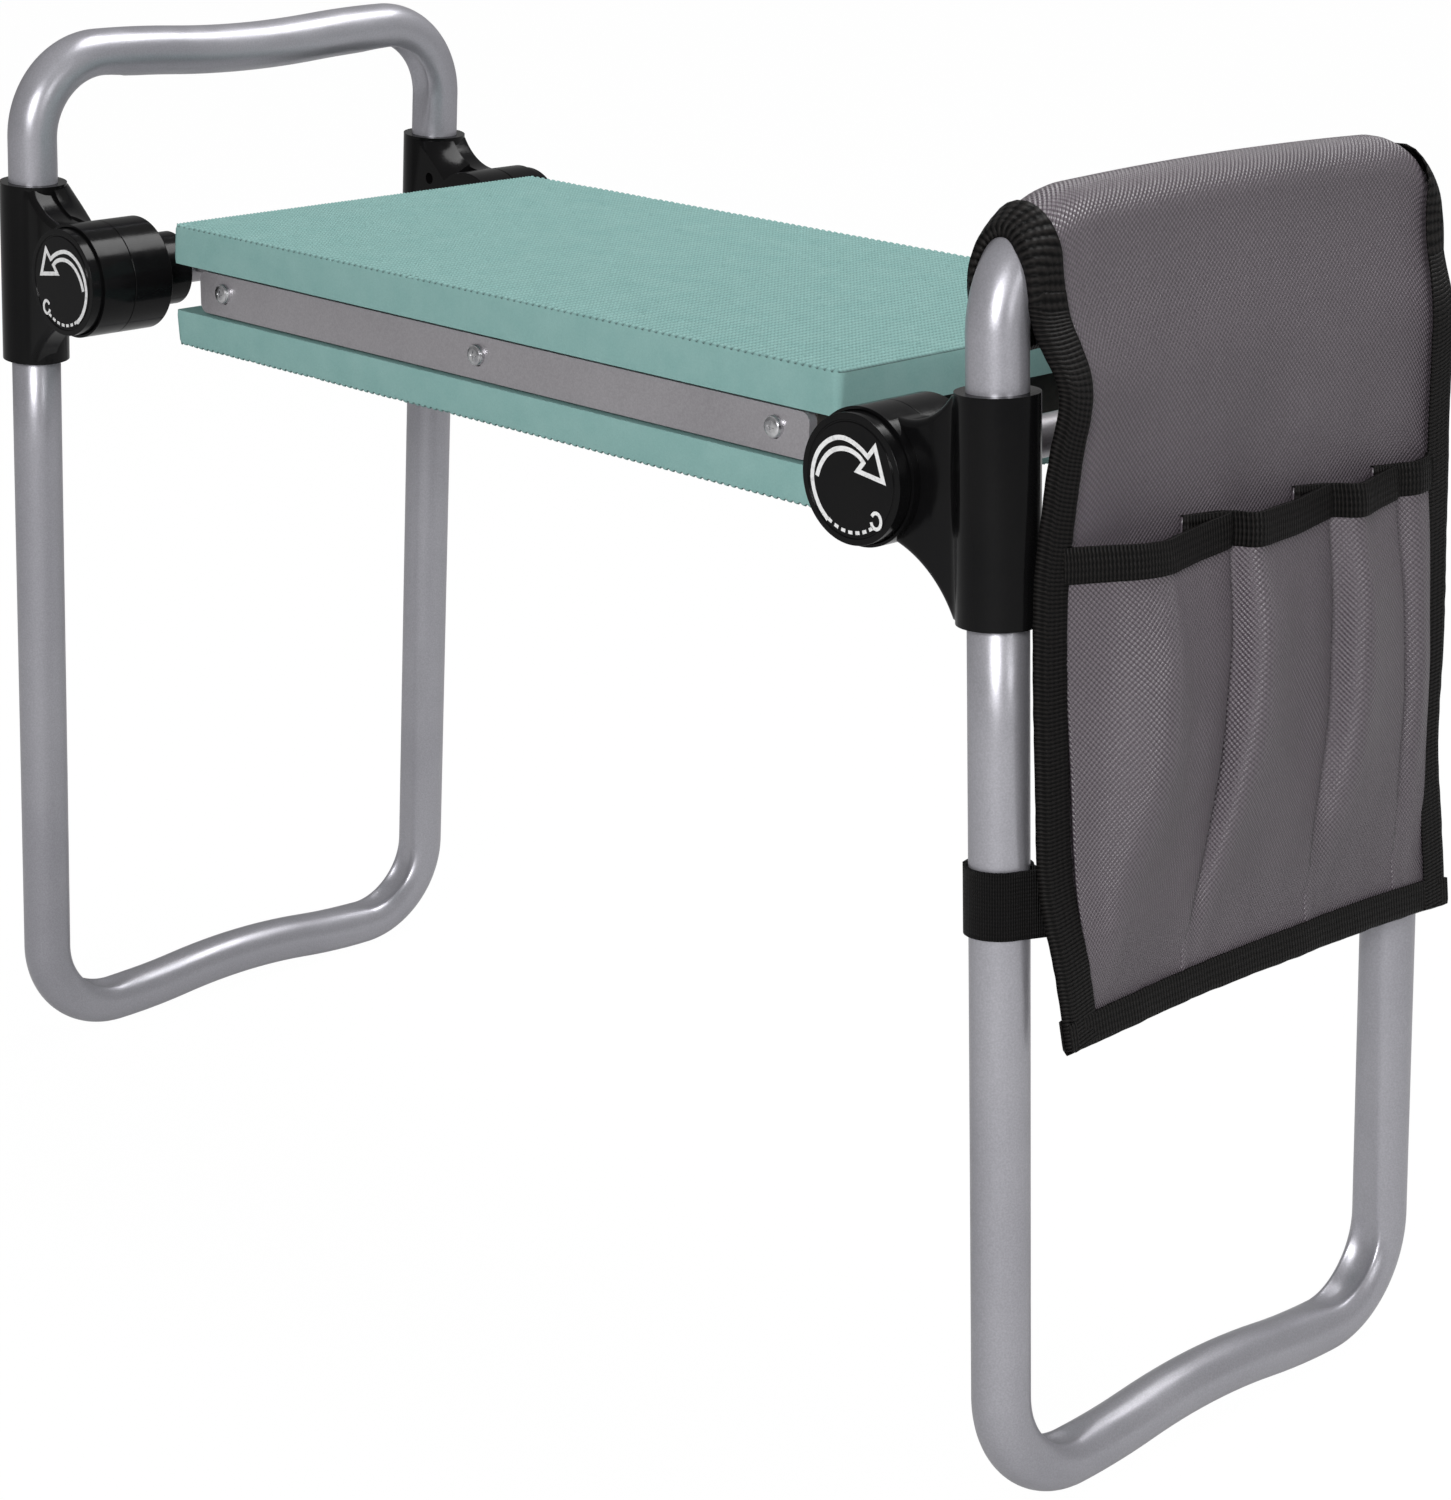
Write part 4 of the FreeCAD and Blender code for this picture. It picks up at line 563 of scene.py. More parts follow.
def makePad(name, up):
    low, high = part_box(name)
    width, length = high.x - low.x, high.y - low.y
    face, base = (high.z, low.z) if up > 0 else (low.z, high.z)
    columns, rows = pad["ribs"] * pad["columns"], pad["bumps"] * pad["rows"]
    bm = bmesh.new()
    bmesh.ops.create_grid(bm, x_segments=columns, y_segments=rows, size=0.5)
    groove = bm.verts.layers.float.new("groove")
    corner = pad["corner"] * mm
    for vert in bm.verts:
        i, j = round((vert.co.x + 0.5) * columns), round((vert.co.y + 0.5) * rows)
        inRib, inBump = i % pad["columns"] == 0, j % pad["rows"] == 0
        drop = pad["ribDepth"] * inRib + pad["bumpDepth"] * inBump * (not inRib)
        rough = noise.noise(Vector((i * 0.9, j * 0.9, up * 7.0)))
        x, y = vert.co.x * width, vert.co.y * length
        dx, dy = abs(x) - (width / 2 - corner), abs(y) - (length / 2 - corner)
        if dx > 0 and dy > 0 and math.hypot(dx, dy) > corner:
            pull = corner / math.hypot(dx, dy)
            x = math.copysign(width / 2 - corner + dx * pull, x)
            y = math.copysign(length / 2 - corner + dy * pull, y)
        worn = max(noise.noise(Vector((x * 90.0, y * 90.0, up * 3.0))) - 0.25, 0.0)
        edge = min(width / 2 - abs(x), length / 2 - abs(y))
        drop += pad["rough"] * rough + worn * pad["worn"] * (edge < pad["wornEdge"] * mm)
        # painted shade: full along the rib grooves, a small share along the bump rows, none on the sides
        vert[groove] = 1.0 if inRib else pad["bumpPaintedShade"] * inBump
        vert.co = (x, y, face - up * drop * mm)
    # the sides, rolled a little at both edges
    depth = abs(face - base)
    rim = [edge for edge in bm.edges if edge.is_boundary]
    for down, out in pad["side"]:
        moved, rim = pullOut(bm, rim)
        level = down * mm if down > 1.0 else down * depth
        for vert in moved:
            wave = pad["wave"] * noise.noise(Vector((vert.co.x * 45.0, vert.co.y * 45.0, down + up)))
            x = math.copysign(min(abs(vert.co.x), width / 2), vert.co.x)
            y = math.copysign(min(abs(vert.co.y), length / 2), vert.co.y)
            vert.co = (x * (1 + (out + wave) * mm / width), y * (1 + (out + wave) * mm / length),
                       face - up * level)
            vert[groove] = 0.0
    bmesh.ops.contextual_create(bm, geom=rim)
    piece = finishPiece(bm, name + "_foam", bodyOf[name], foamGreen, [name], 50.0)


makePad("top_pad", 1)
makePad("lower_pad", -1)
print("foam cut")

# the cross recess has a rim round it and narrows to its floor; dome: share of the radius and of
# the head's height, going down
screw = {"radius": 4.3, "head": 2.6, "recess": 2.0, "arm": 0.42, "armEnd": 1.9, "deep": 0.8,
         "rim": 1.15, "floor": 0.55, "sides": 24, "turn": 37.0,
         "dome": ((0.82, 0.93), (0.94, 0.72), (1.0, 0.4), (1.0, 0.0))}


def screwCircle(bm, radius):
    ring = bmesh.ops.create_circle(bm, cap_ends=False, segments=screw["sides"], radius=radius)["verts"]
    return ring, list({edge for vert in ring for edge in vert.link_edges})


def panHead(bm, place, normal):
    # a pan head with a cross recess: cross loop, round loop, then the domed head
    ring, edges = screwCircle(bm, screw["recess"] * screw["rim"])
    inner, innerEdges = screwCircle(bm, screw["recess"])
    half = screw["arm"]
    for vert in inner:
        x, y = vert.co.x, vert.co.y
        if abs(x) > abs(y):
            y = max(min(y, half), -half)
            x = math.copysign(half, x) if abs(y) >= half and abs(x) < screw["armEnd"] else x
        else:
            x = max(min(x, half), -half)
            y = math.copysign(half, y) if abs(x) >= half and abs(y) < screw["armEnd"] else y
        vert.co = (x, y, 0)
    bmesh.ops.translate(bm, verts=ring + inner, vec=(0, 0, screw["head"]))
    bmesh.ops.bridge_loops(bm, edges=edges + innerEdges)
    pit, pitEdges = pullOut(bm, innerEdges)
    bmesh.ops.scale(bm, verts=pit, vec=(screw["floor"], screw["floor"], 1))
    bmesh.ops.translate(bm, verts=pit, vec=(0, 0, -screw["deep"]))
    bmesh.ops.contextual_create(bm, geom=pitEdges)
    every = ring + inner + pit
    outline = edges
    for reach, height in screw["dome"]:
        moved, outline = pullOut(bm, outline)
        for vert in moved:
            flat = Vector((vert.co.x, vert.co.y, 0)).normalized() * reach * screw["radius"]
            vert.co = (flat.x, flat.y, height * screw["head"])
        every += moved
    bmesh.ops.contextual_create(bm, geom=outline)
    turn = normal.to_track_quat("Z", "X").to_matrix().to_4x4()
    spin = Matrix.Rotation(place.x * screw["turn"], 4, "Z")
    for vert in every:
        vert.co = Matrix.Translation(place) @ turn @ spin @ (vert.co * mm)


railScrews = {"spots": (-168.6, 0.0, 168.6), "height": 387.3, "face": 101.7}
for side, end in ((-1, "front"), (1, "back")):
    bm = bmesh.new()
    for x in railScrews["spots"]:
        place = Vector((x, side * railScrews["face"], railScrews["height"])) * mm
        panHead(bm, place, Vector((0, side, 0)))
    finishPiece(bm, end + "_screw_heads", "seat", zincSteel, (), 40.0)
    dressNode(end + "_rail_screws")
print("screws turned")

pouch = {"cloth": 1.1, "arch": 12.4, "flap": 45.0, "bottom": -205.0, "from": -115.0, "wide": 232.0}
drape = {"lean": 4.6, "sway": 2.2, "sag": 2.5, "crease": 1.3, "ripple": 0.5, "crown": 1.6}
# the cloth's front and back edges at heights w, and how far each is pushed out there
pouchFront = [(-206.0, -99.5, 0.5), (-170.0, -108.0, 1.0), (-140.0, -113.5, -1.5), (-90.0, -117.0, 0.5),
              (-30.0, -117.0, 0.5), (10.0, -112.0, 2.0), (34.0, -108.0, 3.5), (58.0, -113.5, 0.5),
              (80.0, -114.0, 0.0), (100.0, -112.0, 0.0)]
pouchBack = [(-206.0, 125.0, 1.0), (-170.0, 121.0, 0.5), (-140.0, 118.5, -0.5), (-90.0, 119.0, 0.5),
             (-30.0, 118.5, 1.0), (10.0, 117.0, 1.5), (34.0, 115.5, 3.0), (58.0, 117.0, 0.5),
             (80.0, 118.5, 0.0), (100.0, 119.0, 0.0)]


def clothTop(y):
    # centre and height of the fold over the handle, which falls away at the bends
    flat, bendTop = tube["leg"] - handle["bend"], handle["top"] - handle["bend"]
    over = max(abs(y) - flat, 0.0)
    if over == 0.0:
        rise = drape["crown"] * (1.0 - (y / flat) ** 2)
        return handle["top"] + rise, pouch["arch"]
    middle = bendTop + math.sqrt(max(handle["bend"] ** 2 - over ** 2, 4.0))
    reach = handle["bend"] + pouch["arch"]
    return middle, bendTop + math.sqrt(reach ** 2 - over ** 2) - middle


def clothLength():
    return pouch["flap"] + math.pi * pouch["arch"] + handle["top"] - pouch["bottom"]


def clothPoint(along, across):
    # along runs in mm from the inner flap's end, over the handle and down; across is 0 to 1
    middle, rise = clothTop(pouch["from"] + pouch["wide"] * across)
    flap, bend = pouch["flap"], math.pi * pouch["arch"]
    outside = 1.0
    if along < flap:
        u = tube["offset"] - pouch["arch"]
        w = middle + (handle["top"] - flap - middle) * (1.0 - along / flap)
        outside = -1.0
    elif along < flap + bend:
        angle = math.pi * (1.0 - (along - flap) / bend)
        u, w = tube["offset"] + pouch["arch"] * math.cos(angle), middle + rise * math.sin(angle)
        outside = math.cos(angle)
    else:
        run = (along - flap - bend) / (clothLength() - flap - bend)
        w = middle + run * (pouch["bottom"] - middle)
        u = tube["offset"] + pouch["arch"] + drape["lean"] * smoothStep(middle, 30.0, w)
    low, push = followLine(pouchFront, w)
    high, pull = followLine(pouchBack, w)
    y = low + (high - low) * across
    hang = smoothStep(60.0, -20.0, w) * (outside > 0)
    edge = push * (1.0 - across) ** 4 + pull * across ** 4
    sway = (drape["sway"] * math.sin(math.pi * across) * hang
            * math.sin(math.pi * smoothStep(60.0, -206.0, w)))
    crease = (drape["crease"] * noise.noise(Vector((y * 0.018, w * 0.010, 2.0)))
              + drape["ripple"] * noise.noise(Vector((y * 0.05, w * 0.03, 5.0))))
    u += edge * max(outside, 0.0) - sway + (0.7 + crease * (0.35 + 0.65 * hang)) * outside
    w += drape["sag"] * math.sin(math.pi * across) * smoothStep(-120.0, -206.0, w) * (outside > 0)
    return Vector((u, y, w))


def clothAt(along, across):
    # a place on the cloth, the way out in front of it, and the way across it
    down = clothPoint(along + 0.5, across) - clothPoint(along - 0.5, across)
    side = clothPoint(along, min(across + 0.003, 1.0)) - clothPoint(along, max(across - 0.003, 0.0))
    return clothPoint(along, across), down.cross(side).normalized(), side.normalized()


def bendGrid(across, along, place, size):
    # a flat grid laid out by place(s, t), with the cloth's own lengths as its map
    bm = bmesh.new()
    layer = bm.loops.layers.uv.new("cloth")
    bmesh.ops.create_grid(bm, x_segments=across, y_segments=along, size=0.5, calc_uvs=True)
    for face in bm.faces:
        for loop in face.loops:
            x, y = loop.vert.co.x + 0.5, loop.vert.co.y + 0.5
            loop[layer].uv = (x * size[0] * mm, y * size[1] * mm)
    for vert in bm.verts:
        spot = place(vert.co.x + 0.5, vert.co.y + 0.5)
        vert.co = onFrame(spot.x, spot.y, spot.z)
    return bm


def makePanel():
    length = clothLength()
    bm = bendGrid(72, 130, lambda s, t: clothPoint(t * length, s), (pouch["wide"], length))
    piece = finishPiece(bm, "pouch_back_cloth", "right_frame", pouchCloth, ["pouch_panel"])
    thicken(piece, pouch["cloth"] * mm)


# webbing folded over the cloth's edge: how far it stands off in front and behind, how far past
# the edge, its own thickness, and how near the cloth's ends it may be set
binding = {"width": 13.0, "front": 2.6, "back": 1.2, "lip": 1.2, "over": 1.5, "thick": 0.6,
           "inset": 0.6, "steps": 5}


def onCloth(along):
    return min(max(along, binding["inset"]), clothLength() - binding["inset"])


def walkIn(along, across, sign):
    # places on the cloth from a side edge inwards, square to that edge
    row, reach = [], binding["width"] / binding["steps"]
    for k in range(binding["steps"] + 1):
        place = clothPoint(along, across)
        down = clothPoint(along + 0.5, across) - clothPoint(along - 0.5, across)
        low, high = max(across - 0.002, 0.0), min(across + 0.002, 1.0)
        side = (clothPoint(along, high) - clothPoint(along, low)) / (high - low)
        row.append((place, down.cross(side).normalized()))
        slope = side.dot(down) / down.length_squared
        move = sign * reach / (side - down * slope).length
        across = min(max(across + move, 0.0), 1.0)
        along = onCloth(along - slope * move)
    return row


def bindPoint(row, s, ripple):
    # across the folded webbing: from its front hem, round the cloth's edge, to its back hem
    turn, inward = (s - 0.5) * 2.0, (row[1][0] - row[0][0]).normalized()
    run = binding["width"] * abs(turn) ** 1.15 - binding["lip"] * (1.0 - abs(turn)) ** 2
    out = (binding["front"] if turn < 0 else -binding["back"]) * min(1.0, abs(turn) * 6.0) ** 0.5
    step = min(max(run, 0.0) / binding["width"] * binding["steps"], binding["steps"] - 0.001)
    low, part = int(step), step - int(step)
    place = row[low][0].lerp(row[low + 1][0], part) + inward * (min(run, 0.0) + ripple)
    return place + row[low][1].lerp(row[low + 1][1], part).normalized() * out


def makeBinding(name, rowAt, count):
    rows = [rowAt(j / count) for j in range(count + 1)]
    length = sum((b[0][0] - a[0][0]).length for a, b in zip(rows, rows[1:]))

    def place(s, t):
        ripple = 0.35 * noise.noise(Vector((t * count * 0.23, s * 2.0, len(name))))
        return bindPoint(rows[round(t * count)], s, ripple)
    bm = bendGrid(14, count, place, (2.2 * binding["width"], length))
    piece = finishPiece(bm, name, "right_frame", webbingBlack)
    thicken(piece, binding["thick"] * mm, 1.0)


def sideEdge(across, sign):
    total = clothLength()
    return lambda t: walkIn(onCloth(t * total), across, sign)


def endEdge(along, sign):
    def row(t):
        reach = binding["width"] / binding["steps"]
        spots = [clothAt(along + sign * k * reach, t) for k in range(binding["steps"] + 1)]
        return [(place + side * binding["over"] * (2.0 * t - 1.0), normal) for place, normal, side in spots]
    return row


def makePouchEdges():
    makeBinding("pouch_front_binding", sideEdge(0.0, 1.0), 260)
    makeBinding("pouch_back_binding", sideEdge(1.0, -1.0), 260)
    makeBinding("pouch_bottom_binding", endEdge(clothLength() - binding["inset"], -1.0), 150)
    makeBinding("pouch_flap_binding", endEdge(binding["inset"], 1.0), 150)


makePanel()
makePouchEdges()
print("pouch draped")

# each pocket front: left seam and right seam on the panel (at the mouth, at the bottom),
# how far its fold laps past the right seam, how far it stands out, and where across it stands
# out most (at the mouth, at the bottom)
pockets = [
    {"left": (-107.0, -92.0), "right": (-40.0, -39.0), "lap": 20.0, "stand": 21.0, "ridge": (0.58, 0.22)},
    {"left": (-40.0, -39.0), "right": (25.0, 35.0), "lap": 15.0, "stand": 18.0, "ridge": (0.18, 0.12)},
    {"left": (25.0, 35.0), "right": (73.0, 92.0), "lap": 8.0, "stand": 15.0, "ridge": (0.36, 0.22)},
    {"left": (73.0, 92.0), "right": (108.0, 114.0), "lap": 0.0, "stand": 7.0, "ridge": (0.45, 0.40)},
]
pocketMouth, pocketBottom = -20.0, -202.0
pocketCloth = {"step": 1.6, "rows": 70, "thick": 1.0}
hem = {"step": 1.2, "rows": 8, "thick": 2.2}


def measureLine(line):
    # the points of a flat line, each with its share of the length before it, and that length
    run, marks = 0.0, []
    for k, spot in enumerate(line):
        if k:
            run += math.hypot(spot[0] - line[k - 1][0], spot[1] - line[k - 1][1])
        marks.append((run, *spot))
    return [(at / run, first, second) for at, first, second in marks], run


def pocketLine(index, t):
    # the front's section at height t, 0 at the mouth and 1 at the bottom, as (share, y, out)
    row, before = pockets[index], pockets[index - 1] if index else None
    left = row["left"][0] + (row["left"][1] - row["left"][0]) * t
    right = row["right"][0] + (row["right"][1] - row["right"][0]) * t
    full = max(0.58 + 0.42 * smoothStep(0.0, 0.3, t) - smoothStep(0.42, 0.95, t) ** 1.2, 0.0)
    stand = 1.2 + (row["stand"] - 1.2) * full
    fade = 1.0 - smoothStep(0.15, 1.0, t) ** 1.2
    lap = row["lap"] * fade + 1.5
    under = before["lap"] * fade + 1.5 if before and before["lap"] else 0.0
    line = [(left, 1.0)]
    if under:
        line.append((left + under * 0.9, 1.4))
    rise = left + under
    width = right - rise
    ridge = row["ridge"][0] + (row["ridge"][1] - row["ridge"][0]) * smoothStep(0.1, 1.0, t)
    line += [(rise + 0.45 * ridge * width, 1.0 + 0.36 * (stand - 1.0)),
             (rise + 0.85 * ridge * width, 1.0 + 0.86 * (stand - 1.0)),
             (rise + (ridge + 0.08) * width, stand),
             (rise + (0.55 + 0.45 * ridge) * width, stand * 0.80)]
    if row["lap"]:
        line += [(right + lap * 0.5, stand * 0.52), (right + lap, stand * 0.30 + 0.9),
                 (right + lap * 0.6, stand * 0.14 + 1.3), (right + 0.8, 1.8)]
    else:
        line += [(right - 0.16 * width, stand * 0.6), (right - 1.5, 1.0), (right, 1.0)]
    return measureLine(line)


def acrossAt(y, w):
    low, high = followLine(pouchFront, w)[0], followLine(pouchBack, w)[0]
    return min(max((y - low) / (high - low), 0.0), 1.0)


def alongAt(w, across):
    start = pouch["flap"] + math.pi * pouch["arch"]
    middle = clothTop(pouch["from"] + pouch["wide"] * across)[0]
    return start + (middle - w) / (middle - pouch["bottom"]) * (clothLength() - start)


def pocketPoint(index, s, t, extra=0.0):
    y, out = followLine(pocketLine(index, t)[0], s)
    row = pockets[index]
    sag = 2.5 * math.sin(math.pi * min(s, 1.0)) * (1.0 - t) ** 3 * (row["stand"] / 17.0)
    w = pocketMouth + (pocketBottom - pocketMouth) * t - sag
    loose = math.sin(math.pi * min(s, 1.0)) * (1.0 - smoothStep(0.8, 0.95, t))
    fold = 0.9 * noise.noise(Vector((y * 0.05, w * 0.022, index + 9.0)))
    pull = (2.4 * noise.noise(Vector((y * 0.03 + w * 0.012, w * 0.004, index + 31.0)))
            * smoothStep(0.2, 0.6, t))
    across = acrossAt(y, w)
    spot, normal = clothAt(alongAt(w, across), across)[:2]
    return spot + normal * (max(out + (fold + pull) * loose, 0.9) + extra)


def makePockets():
    height = pocketMouth - pocketBottom
    for index in range(len(pockets)):
        total = pocketLine(index, 0.25)[1]
        name = "pocket_front_%d" % (index + 1)
        bm = bendGrid(int(total / pocketCloth["step"]), pocketCloth["rows"],
                      lambda s, t: pocketPoint(index, s, 1.0 - t), (total, height))
        piece = finishPiece(bm, name, "right_frame", pouchCloth,
                            ["pouch_pockets"] if index == 0 else [])
        thicken(piece, pocketCloth["thick"] * mm, 1.0)
        # the webbing hem round each mouth
        deep = binding["width"] / height
        bm = bendGrid(int(total / hem["step"]), hem["rows"],
                      lambda s, t: pocketPoint(index, s, (1.0 - t) * deep - 0.004,
                                               0.9 + 0.5 * math.sin(math.pi * t)),
                      (total, binding["width"]))
        swapMap(bm)
        band = finishPiece(bm, "pocket_hem_%d" % (index + 1), "right_frame", webbingBlack)
        thicken(band, hem["thick"] * mm)


def swapMap(bm):
    # the ribs of a hem run across it
    layer = bm.loops.layers.uv["cloth"]
    for face in bm.faces:
        for loop in face.loops:
            loop[layer].uv = (loop[layer].uv.y, loop[layer].uv.x)


makePockets()
print("pockets sewn")

strap = {"width": 25.0, "thick": 1.5, "gap": 0.4, "drop": -147.0}


def strapLine(side):
    # round the leg, seen from above in mm: from the cloth, round the outside, past itself
    r = tube["radius"] + strap["gap"] + strap["thick"] / 2
    u, y = tube["offset"], side * tube["leg"]
    line = [(u + 16.0, y - side * 8.0), (u + 13.4, y - side * 1.0)]
    for angle in range(10, 200, 15):
        a = math.radians(angle)
        line.append((u + r * math.cos(a), y + side * r * math.sin(a)))
    line += [(u - r - 1.0, y - side * 9.0), (u - r - 3.2, y - side * 15.0)]
    return line


def strapBackLine(side):
    r = tube["radius"] + strap["gap"] + strap["thick"] / 2 - 0.2
    u, y = tube["offset"], side * tube["leg"]
    line = [(u - r + 0.8, y + side * 6.0), (u - r, y)]
    for angle in range(195, 330, 15):
        a = math.radians(angle)
        line.append((u + r * math.cos(a), y + side * r * math.sin(a)))
    line += [(u + 13.2, y - side * 9.5), (u + 14.6, y - side * 13.0)]
    return line


def makeStrapPiece(name, line, drop, replaces, slant=0.0):
    marks, length = measureLine(line)

    def place(s, t):
        u, y = followLine(marks, t)
        cut = slant * smoothStep(0.9, 1.0, t) * (1.0 - s)
        w = drop + (s - 0.5) * strap["width"] + 1.2 * math.sin(t * 5.0) * 0.5
        return Vector((u, y, w - cut))
    bm = bendGrid(14, 90, place, (strap["width"], length))
    piece = finishPiece(bm, name, "right_frame", strapBlack, replaces)
    thicken(piece, strap["thick"] * mm)


for side, end, drop in ((-1, "front", strap["drop"]), (1, "back", strap["drop"] + 6.0)):
    makeStrapPiece(end + "_strap_wrap", strapLine(side), drop, [end + "_strap"], 7.0)
    makeStrapPiece(end + "_strap_inner", strapBackLine(side), drop, [])
print("straps wrapped")

# the arrow on each button, in mm from the middle of its face, seen from outside
arrow = {"wide": 1.75, "thick": 0.06, "off": 0.02,
         "outer": [(-10.5, -16.3), (-14.4, -12.6), (-17.3, -7.6), (-18.6, -2.4), (-18.0, 2.6),
                   (-16.0, 7.2), (-12.6, 10.9), (-8.4, 13.3), (-4.3, 14.1), (0.0, 13.5),
                   (4.6, 11.6), (7.9, 9.4)],
         "head": [(11.2, 13.4), (15.6, 1.9), (3.2, 3.6)],
         "inner": [(6.0, 7.0), (3.6, 8.9), (-0.2, 10.2), (-4.4, 10.3), (-8.6, 9.0), (-12.2, 6.2),
                   (-14.9, 2.2), (-16.3, -1.6)]}
dots = {"radius": 18.9, "from": 240.0, "to": 303.0, "count": 7, "long": 2.0, "wide": 1.3}
loop = {"x": 12.6, "z": -12.6, "radius": 2.6, "wide": 1.3}


def drawStroke(bm, points, width):
    # a flat stroke with mitred corners
    points = [Vector((p[0], p[1], 0)) for p in points]
    edge = None
    for k, point in enumerate(points):
        before = points[k - 1] if k else None
        after = points[k + 1] if k + 1 < len(points) else None
        first = (point - before).normalized() if before is not None else (after - point).normalized()
        last = (after - point).normalized() if after is not None else first
        along = (first + last).normalized()
        miter = Vector((-along.y, along.x, 0)) * (width / 2 / max(along.dot(first), 0.3))
        if edge is None:
            pair = [bm.verts.new(point + miter), bm.verts.new(point - miter)]
            edge = bm.edges.new(pair)
        else:
            pair, (edge,) = pullOut(bm, [edge])
            pair.sort(key=lambda vert: -(vert.co - points[k - 1]).dot(Vector((-first.y, first.x, 0))))
            pair[0].co, pair[1].co = point + miter, point - miter


def roundLine(points, steps=4):
    marks = [(float(k), p[0], p[1]) for k, p in enumerate(points)]
    return [tuple(followLine(marks, k / steps)) for k in range((len(points) - 1) * steps + 1)]


def makePrint(side, front):
    name = ("right_" if side > 0 else "left_") + ("front" if front < 0 else "back")
    bm = bmesh.new()
    drawStroke(bm, roundLine(arrow["outer"]) + arrow["head"] + roundLine(arrow["inner"]), arrow["wide"])
    for k in range(dots["count"]):
        middle = dots["from"] + (dots["to"] - dots["from"]) * k / (dots["count"] - 1)
        half = math.degrees(dots["long"] / 2 / dots["radius"])
        ends = [(dots["radius"] * math.cos(math.radians(a)), dots["radius"] * math.sin(math.radians(a)))
                for a in (middle - half, middle, middle + half)]
        drawStroke(bm, ends, dots["wide"])
    ring = [(loop["x"] + loop["radius"] * math.cos(math.radians(a)) * 0.9,
             loop["z"] + loop["radius"] * math.sin(math.radians(a)) * 1.1) for a in range(195, 520, 15)]
    drawStroke(bm, ring, loop["wide"])
    for vert in bm.verts:
        vert.co = Vector((side * (hinge["x"] + vert.co.x), front * (hinge["face"] + arrow["off"]),
                          hinge["z"] + vert.co.y)) * mm
    for face in bm.faces:
        if face.normal.y * front < 0:
            face.normal_flip()
    piece = meshObject(bm, name + "_arrow", printWhite)
    thicken(piece, arrow["thick"] * mm, 1.0)
    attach(piece, name + "_push")


for side in (1, -1):
    for front in (-1, 1):
        makePrint(side, front)
print("arrows printed")

# the cross tubes, and all that has no piece of its own above
remade = ("pad", "tube", "strap", "screws")
for name in frame["nodes"]:
    if name.endswith("cross_tube") or not (name.endswith(remade) or name.startswith("pouch")):
        dressNode(name)
print("nodes dressed")


# how much of the white each kind of ray sees; the rest is the floor's own colour, with its shadow
floorLook = {"color": (0.5, 0.5, 0.5), "half": 6.0, "glow": 1.02, "seen": 0.97, "shiny": 0.3, "clear": 0.88}


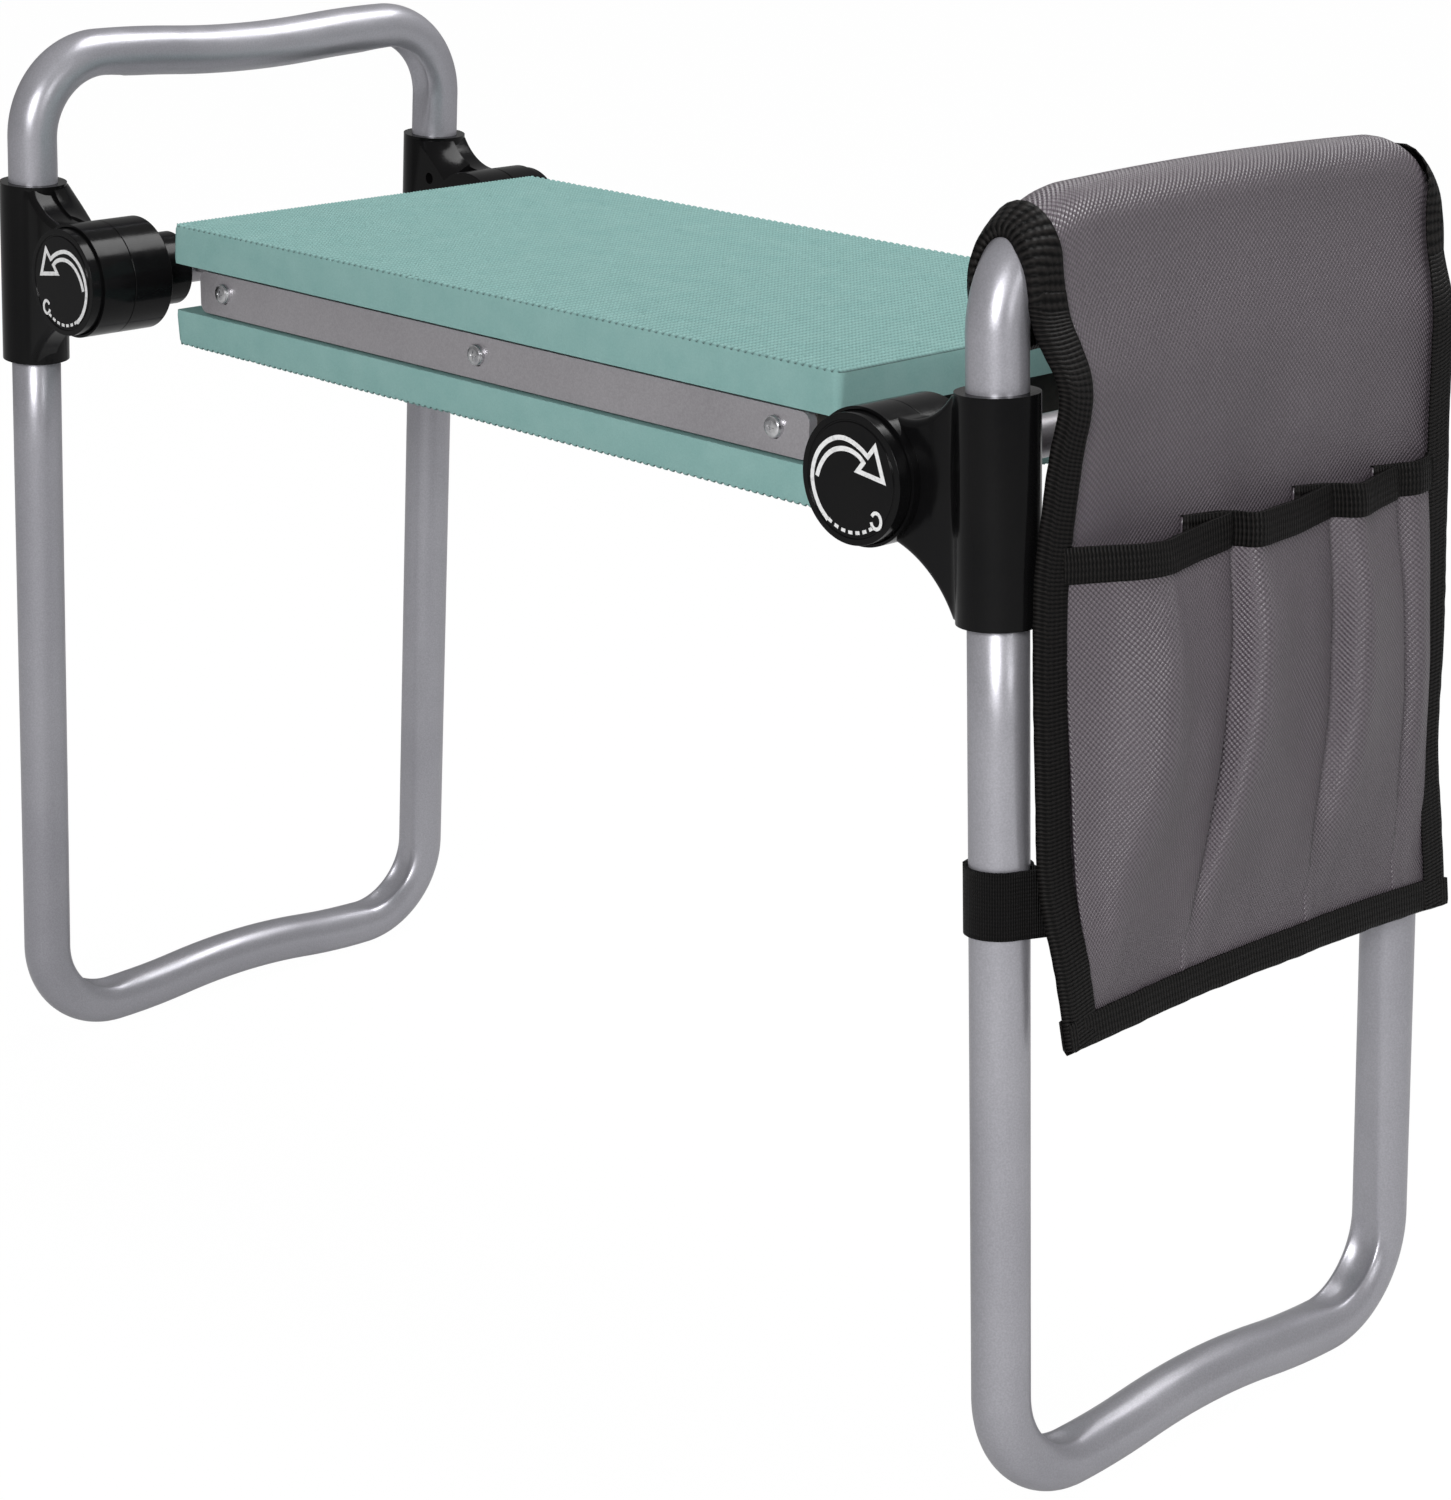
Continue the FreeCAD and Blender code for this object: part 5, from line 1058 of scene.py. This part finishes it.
def makeFloor():
    bm = bmesh.new()
    bmesh.ops.create_grid(bm, x_segments=2, y_segments=2, size=floorLook["half"])
    floor = meshObject(bm, "floor")
    material, tree, shader = newMaterial("floorWhite", floorLook["color"], 0.9)
    glow = addNode(tree, "Emission", {"Color": (1.0, 1.0, 1.0, 1.0), "Strength": floorLook["glow"]})
    path = addNode(tree, "LightPath")
    mix = addNode(tree, "MixShader")
    seen = addMath(tree, "MULTIPLY", path.outputs["Is Camera Ray"], floorLook["seen"])
    shiny = addMath(tree, "MULTIPLY", path.outputs["Is Glossy Ray"], floorLook["shiny"])
    clear = addMath(tree, "MULTIPLY", path.outputs["Is Transmission Ray"], floorLook["clear"])
    most = addMath(tree, "MAXIMUM", addMath(tree, "MAXIMUM", seen, shiny), clear)
    tree.links.new(most, mix.inputs["Fac"])
    tree.links.new(shader.outputs["BSDF"], mix.inputs[1])
    tree.links.new(glow.outputs["Emission"], mix.inputs[2])
    tree.links.new(mix.outputs["Shader"], tree.nodes["Material Output"].inputs["Surface"])
    floor.data.materials.append(material)


# the light from all round, and how much of the white shows in glossy pieces
studio = {"soft": 0.17, "shiny": 0.12}


def makeWorld():
    world = bpy.data.worlds.new("studio")
    world.use_nodes = True
    tree = world.node_tree
    tree.nodes.clear()
    soft = addNode(tree, "Background", {"Color": (1.0, 1.0, 1.0, 1.0), "Strength": studio["soft"]})
    white = addNode(tree, "Background", {"Color": (1.0, 1.0, 1.0, 1.0), "Strength": 1.0})
    path = addNode(tree, "LightPath")
    mix = addNode(tree, "MixShader")
    out = addNode(tree, "OutputWorld")
    shiny = addMath(tree, "MULTIPLY", path.outputs["Is Glossy Ray"], studio["shiny"])
    seen = addMath(tree, "MAXIMUM", path.outputs["Is Camera Ray"], path.outputs["Is Transmission Ray"])
    tree.links.new(addMath(tree, "MAXIMUM", seen, shiny), mix.inputs["Fac"])
    tree.links.new(soft.outputs["Background"], mix.inputs[1])
    tree.links.new(white.outputs["Background"], mix.inputs[2])
    tree.links.new(mix.outputs["Shader"], out.inputs["Surface"])
    bpy.context.scene.world = world


lamps = [
    {"name": "key", "place": (1.5, -2.2, 1.3), "aim": (0.0, 0.0, 0.28), "size": 0.8, "power": 52.0},
    {"name": "side", "place": (2.5, -0.3, 1.0), "aim": (0.3, 0.0, 0.25), "size": 0.5, "power": 6.0},
    {"name": "top", "place": (0.3, 0.9, 2.3), "aim": (0.0, 0.0, 0.3), "size": 1.2, "power": 40.0},
]


def makeLamps():
    for lamp in lamps:
        data = bpy.data.lights.new(lamp["name"], "AREA")
        data.shape = "SQUARE"
        data.size = lamp["size"]
        data.energy = lamp["power"]
        light = bpy.data.objects.new(lamp["name"], data)
        bpy.context.scene.collection.objects.link(light)
        place = Vector(lamp["place"])
        light.location = place
        light.rotation_mode = "QUATERNION"
        light.rotation_quaternion = (Vector(lamp["aim"]) - place).to_track_quat("-Z", "Y")


makeFloor()
makeWorld()
makeLamps()
bpy.context.scene.view_settings.view_transform = "Standard"
